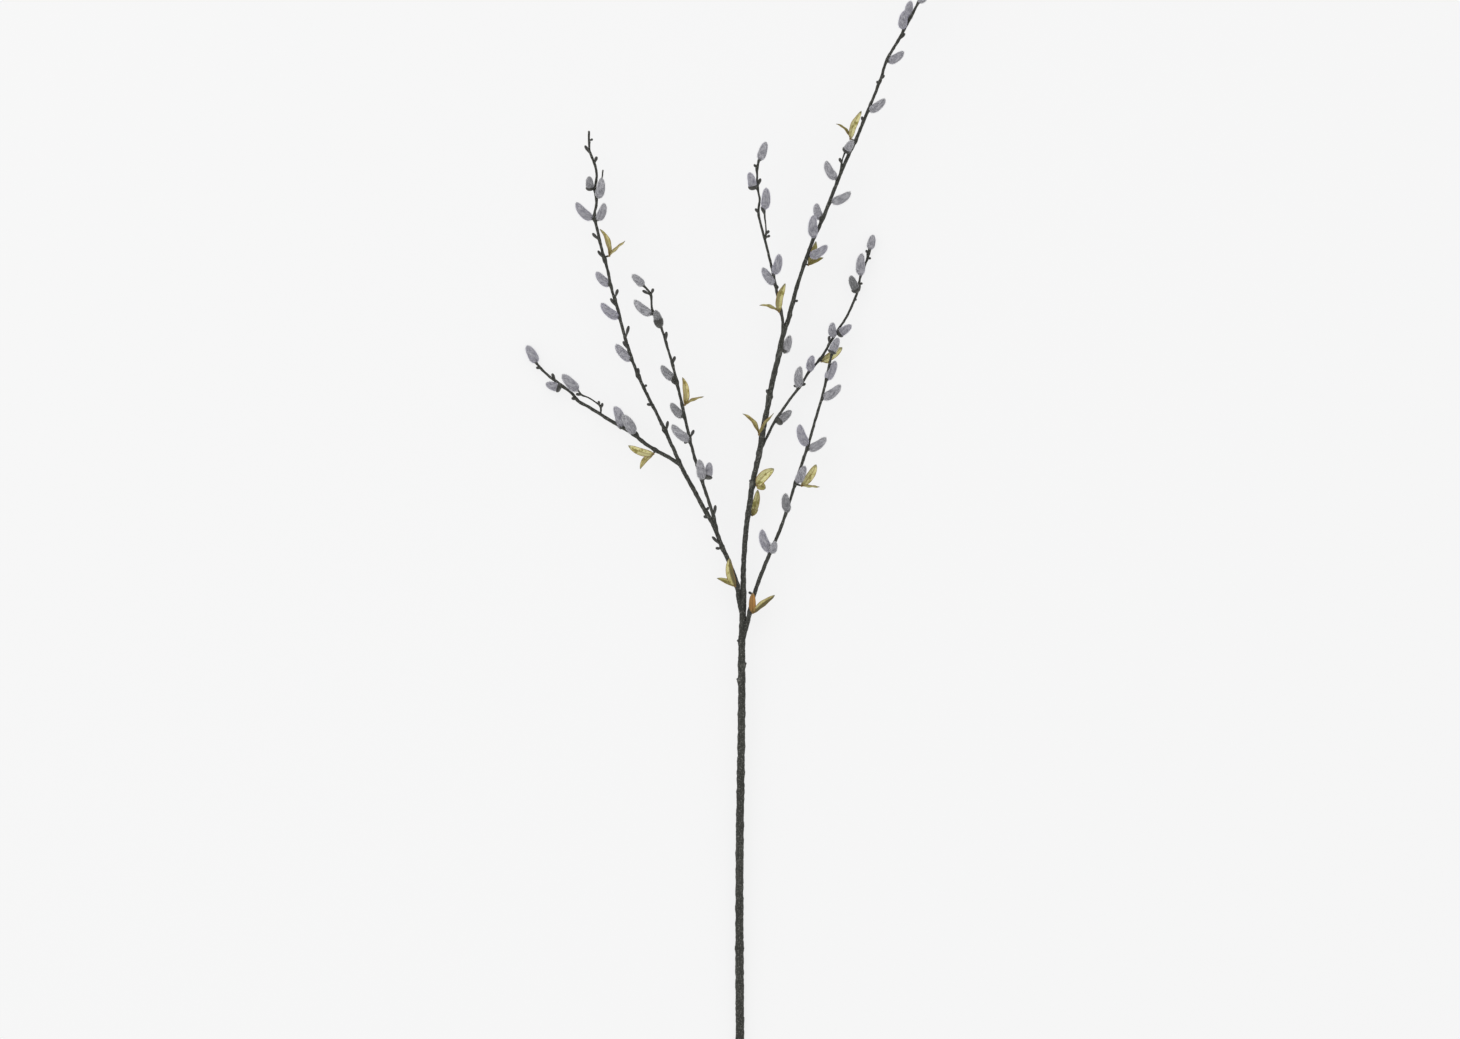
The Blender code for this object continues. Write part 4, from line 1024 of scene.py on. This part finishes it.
young_leaf, shader, pen = start_finish("young_leaf", {"Specular IOR Level": 0.4})
across, along, _ = pen.add("ShaderNodeUVMap", {"uv_map": "blade"}, {}, "UV").parts()
aside = across * 2.0 - 1.0
side = abs(aside)
ochre, dusk, half = pen.read("tones_and_fold_shade").parts()
mottle = pen.place().clouds(MOTTLE_SCALE, 4.0, 0.6)
fine = pen.place().clouds(FINE_SCALE, 2.0)
rib_count = along * SIDE_RIBS - side * RIB_SLANT + fine * 0.2
ribs = abs(rib_count.math("FRACT", rib_count) - 0.5).rise(0.36, 0.5)
vein_count = side * LEAF_VEINS + mottle * 0.6
veins = abs(vein_count.math("FRACT", vein_count) - 0.5).rise(0.3, 0.5) * (1.0 - along.rise(0.25, 0.8))
# Painted fold shade: the third tone number darkens one half of the blade as if it were turned from the light.
painted_fold_shade = (aside * half + mottle * 0.2).rise(0.05, 0.3) * abs(half)
tone = ochre.blend(LEAF_YELLOW, LEAF_OCHRE)
# Pale mottles: partly the blade's own pale flecks and partly painted highlights.
pale = (mottle + fine * 0.3).rise(0.5, 0.7) * (1.0 - dusk) * (1.0 - ochre)
tone = (pale * 0.78).blend(tone, LEAF_PALE_MOTTLE_AND_HIGHLIGHT)
tone = dusk.blend(tone, LEAF_OLIVE)
tone = (painted_fold_shade * 0.9).blend(tone, LEAF_VEIN_AND_PAINTED_SHADE)
tone = ((1.0 - mottle.rise(0.36, 0.46)) * 0.6).blend(tone, LEAF_OLIVE)
tone = (ribs * 0.25).blend(tone, LEAF_OLIVE)
tone = (veins * 0.7).blend(tone, LEAF_VEIN_AND_PAINTED_SHADE)
tone = (side.rise(0.78, 0.98) * 0.7).blend(tone, LEAF_EDGE)
tone = ((1.0 - side.rise(0.02, 0.16)) * 0.75).blend(tone, LEAF_RIB)
tone = ((1.0 - (along + mottle * 0.1).rise(0.03, 0.22)) * 0.75).blend(tone, LEAF_BROWN)
tone = ((along + side * 0.04).rise(0.86, 1.0) * 0.75).blend(tone, LEAF_DRY)
feed(shader, "Base Color", tone)
feed(shader, "Roughness", 0.42 + mottle * 0.25)
add_relief(shader, ribs * 0.4 + (1.0 - side.rise(0.0, 0.2)) + fine * 0.3, LEAF_BUMP, 0.7)


def blade_girth(part, seen_width):
    """How wide a blade is along its length, from 0 to 1: blunt where it is broad, pointed where slender."""
    broad = max(0.0, min(1.0, (seen_width - LEAF_NARROW) / (LEAF_BROAD - LEAF_NARROW)))
    grown = part ** LEAF_WIDEST
    pointed = math.sin(math.pi * grown) ** POINTED_POWER
    blunt = (1 - abs(2 * grown - 1) ** BLUNT_SPREAD) ** BLUNT_POWER
    return pointed * (1 - broad) + blunt * broad


def add_blade(form, foot, blade, wave):
    """One leaf blade: folded along its midrib, arched, wavy at its edges and curled at its tip."""
    tip_place, seen_width, bow, rise = blade
    tip = Vector((*tip_place, foot.z + rise))
    run = tip - foot
    length = run.length
    left = UP.cross(run).normalized()
    face = run.cross(left).normalized()
    true_width = max(seen_width, min(LEAF_TRUE_WIDTH, LEAF_SLENDERNESS * length))
    roll = math.acos(seen_width / true_width)
    across = left * math.cos(roll) + face * math.sin(roll)
    normal = face * math.cos(roll) - left * math.sin(roll)
    made = bmesh.ops.create_grid(form, x_segments=LEAF_COLUMNS, y_segments=LEAF_ROWS, size=1.0, calc_uvs=True)
    for vertex in made["verts"]:
        part = (vertex.co.y + 1) / 2
        over = vertex.co.x
        least = LEAF_FOOT_HALF_WIDTH * (1 - part) + LEAF_TIP_HALF_WIDTH * part
        half = max(least, 0.5 * true_width * blade_girth(part, seen_width))
        middle = foot + run * part + (left * bow + face * LEAF_ARCH * length) * 4 * part * (1 - part)
        ripple = math.sin(part * WAVE_RATE + wave + WAVE_ACROSS * over)
        lift = LEAF_FOLD * abs(over) ** FOLD_POWER * half
        lift += LEAF_WAVE * over * over * ripple * min(1.0, half / 2)
        lift -= LEAF_CURL * max(0.0, part - LEAF_CURL_START) ** 2 * length
        vertex.co = (middle + across * over * half + normal * lift) * MM
        vertex.co.z = max(vertex.co.z, LEAF_SOLID * MM)
    return made["verts"]


for name in BRANCHES:
    for order, (foot_place, lift, blades) in enumerate(BRANCHES[name]["leaves"]):
        form = bmesh.new()
        form.loops.layers.uv.new("blade")
        tones_and_fold_shade = form.verts.layers.float_vector.new("tones_and_fold_shade")
        line, index = host_of(name, foot_place)
        start = line[index]
        end = Vector((*foot_place, start.z + lift))
        outward = (end - start).normalized()
        seat = end + outward * SEAT_GAP
        for turn, blade in enumerate(blades):
            blade_foot = seat + outward * LEAF_STALK_LENGTH * LEAF_FOOT_SHARE
            wave = order * WAVE_PAIR_STEP + turn * WAVE_BLADE_STEP
            for vertex in add_blade(form, blade_foot, blade, wave):
                vertex[tones_and_fold_shade] = BLADE_TONES_AND_FOLD_SHADE[name][order][turn]
        stalk_end = seat + outward * (LEAF_STALK_LENGTH + LEAF_STALK_AHEAD)
        set_bean(form, COLLAR, end - outward * LEAF_STALK_BEHIND, stalk_end, LEAF_STALK_RADIUS)
        label = name + "_" + str(order + 1)
        pair = finish_piece("leaves_" + label, form, young_leaf, ["leaf_pair_" + label])
        thick = pair.modifiers.new("thickness", "SOLIDIFY")
        thick.thickness = LEAF_SOLID * MM
        thick.offset = 0.0

# Surface, light and camera
# A plain pale surface under an even studio sky, with one large soft lamp from the upper left, and the
# camera straight above, framed as the photograph. Sizes here are in metres, the sensor's in millimetres.
SURFACE_SIZE = 60.0
SURFACE_DROP = 0.0005
PHOTO_WIDTH = 1.46
CAMERA_X = -0.010
CAMERA_Y = 0.5855
CAMERA_HEIGHT = 24.0
SENSOR_WIDTH = 36.0
SKY = (0.93, 0.93, 0.935, 1.0)
SURFACE_COLOUR = (0.15, 0.15, 0.15, 1.0)
SURFACE_GLOW = (0.77, 0.77, 0.77, 1.0)
LAMP_SIZE = 2.5
LAMP_POWER = 18.0
LAMP_PLACE = (-1.6, 2.0, 2.6)
LAMP_AIM = Vector((0, 0.6, 0))

surface_material = start_finish("pale_surface", {"Base Color": SURFACE_COLOUR, "Roughness": 1.0,
                                                 "Specular IOR Level": 0.0, "Emission Color": SURFACE_GLOW,
                                                 "Emission Strength": 1.0})[0]
form = bmesh.new()
bmesh.ops.create_grid(form, x_segments=1, y_segments=1, size=SURFACE_SIZE / 2)
bmesh.ops.translate(form, vec=(CAMERA_X, CAMERA_Y, -SURFACE_DROP), verts=form.verts)
mesh = as_mesh("surface", form)
mesh.materials.append(surface_material)
new_object("surface", mesh)

world = bpy.data.worlds.new("studio")
world.use_nodes = True
world.node_tree.nodes["Background"].inputs["Color"].default_value = SKY
world.node_tree.nodes["Background"].inputs["Strength"].default_value = 1.0
bpy.context.scene.world = world

lamp_data = bpy.data.lights.new("soft_lamp", "AREA")
lamp_data.shape = "SQUARE"
lamp_data.size = LAMP_SIZE
lamp_data.energy = LAMP_POWER
lamp = new_object("soft_lamp", lamp_data)
lamp.location = LAMP_PLACE
lamp.rotation_euler = (LAMP_AIM - lamp.location).to_track_quat("-Z", "Y").to_euler()

camera_data = bpy.data.cameras.new("camera")
camera_data.sensor_width = SENSOR_WIDTH
camera_data.lens = SENSOR_WIDTH * CAMERA_HEIGHT / PHOTO_WIDTH
camera = new_object("camera", camera_data)
camera.location = (CAMERA_X, CAMERA_Y, CAMERA_HEIGHT)
bpy.context.scene.camera = camera
bpy.context.scene.view_settings.view_transform = "Standard"
